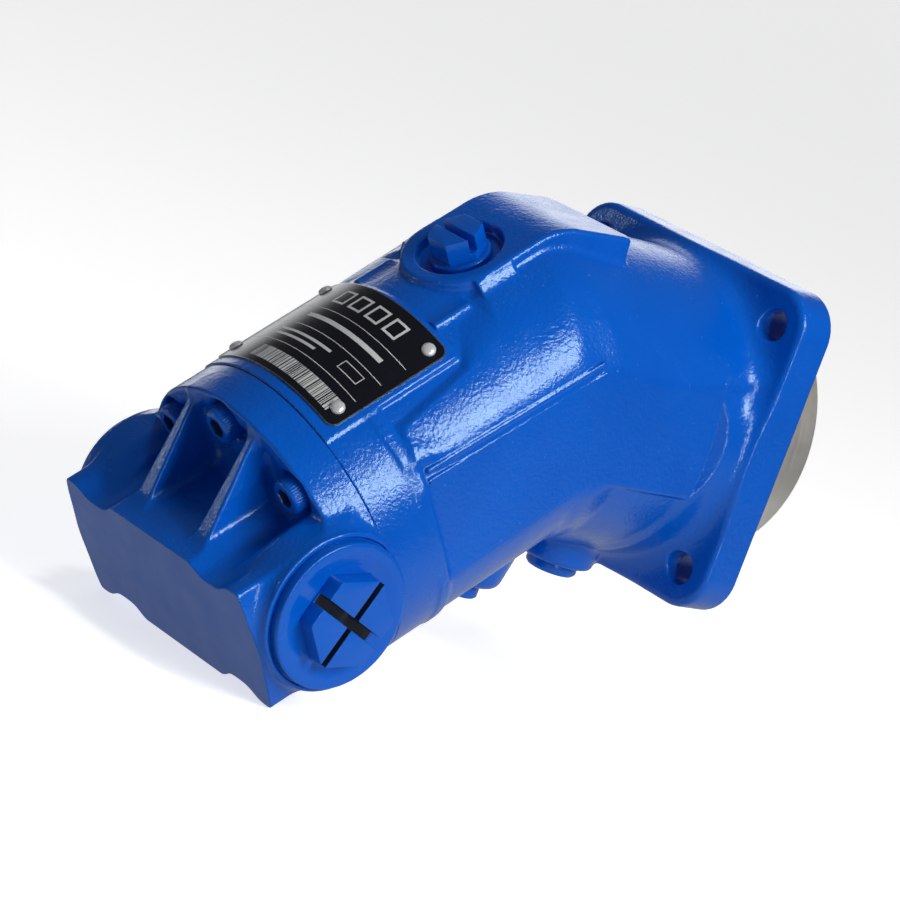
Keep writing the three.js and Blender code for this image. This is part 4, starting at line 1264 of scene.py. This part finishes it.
def make_camera():
    """A long lens well back, rolled about its own axis."""
    data = bpy.data.cameras.new("camera")
    data.lens = CAMERA_LENS
    data.sensor_width = 36.0
    data.sensor_fit = "HORIZONTAL"
    data.clip_end = 100.0
    ob = new_object("camera", data)
    here, aim = Vector(CAMERA_AT) * MM, Vector(CAMERA_AIM) * MM
    look = (here - aim).to_track_quat("Z", "Y").to_matrix().to_4x4()
    ob.matrix_world = Matrix.Translation(here) @ look @ Matrix.Rotation(math.radians(CAMERA_ROLL), 4, "Z")
    bpy.context.scene.camera = ob


def make_light():
    """A dim room with one bright wall behind the pump, two softboxes and two strips."""
    world = bpy.data.worlds.new("studio")
    world.use_nodes = True
    tree = world.node_tree
    back = tree.nodes["Background"]
    seen = tree.nodes.new("ShaderNodeLightPath").outputs["Is Camera Ray"]
    way = tree.nodes.new("ShaderNodeTexCoord").outputs["Generated"]
    towards = tree.nodes.new("ShaderNodeVectorMath")
    towards.operation = "DOT_PRODUCT"
    towards.inputs[1].default_value = Vector((0.60, 0.79, 0.14)).normalized()
    tree.links.new(way, towards.inputs[0])
    wall = tree.nodes.new("ShaderNodeMapRange")
    for socket, value in (("From Min", 0.87), ("From Max", 0.95), ("To Min", 0.08), ("To Max", 1.6)):
        wall.inputs[socket].default_value = value
    tree.links.new(towards.outputs["Value"], wall.inputs["Value"])
    share = tree.nodes.new("ShaderNodeMapRange")
    share.inputs["To Max"].default_value = 0.95
    tree.links.new(seen, share.inputs["Value"])
    tree.links.new(wall.outputs["Result"], share.inputs["To Min"])
    tree.links.new(share.outputs["Result"], back.inputs["Strength"])
    back.inputs["Color"].default_value = (0.96, 0.98, 1.0, 1.0)
    bpy.context.scene.world = world
    area_light("near_softbox", (0.09, -0.85, 0.56), 1.1, 0.41, 6.4)
    top = area_light("top_softbox", (-0.12, -0.02, 1.0), 1.2, 0.24, 2.6)
    top.visible_glossy = False
    area_light("near_strip", (-0.22, -0.92, 0.18), 0.45, 0.05, 0.5, height=0.30)
    area_light("left_strip", (-0.733, 0.687, -0.005), 0.9, 0.05, 0.24, height=0.115)
    bpy.context.scene.view_settings.view_transform = "Standard"


STEP = 0.5
PLATE_STEP = 0.42

make_housing()
make_port_plate()
for number, angle in enumerate(SCREW_ANGLES):
    make_cap_screw(number + 1, angle)
make_port_plug(-1, "port_plug_near")
make_port_plug(1, "port_plug_far")
make_upper_drain_plug()
make_lower_plugs()
make_nameplate()
for number, (rivet_l, angle) in enumerate(((35, -30), (65.2, -30), (35, 30), (65.2, 30))):
    make_rivet(number + 1, rivet_l, angle)
make_shaft()
make_shaft_seal()
dress_inside_nodes()
make_stage()
make_light()
make_camera()

bpy.context.view_layer.update()
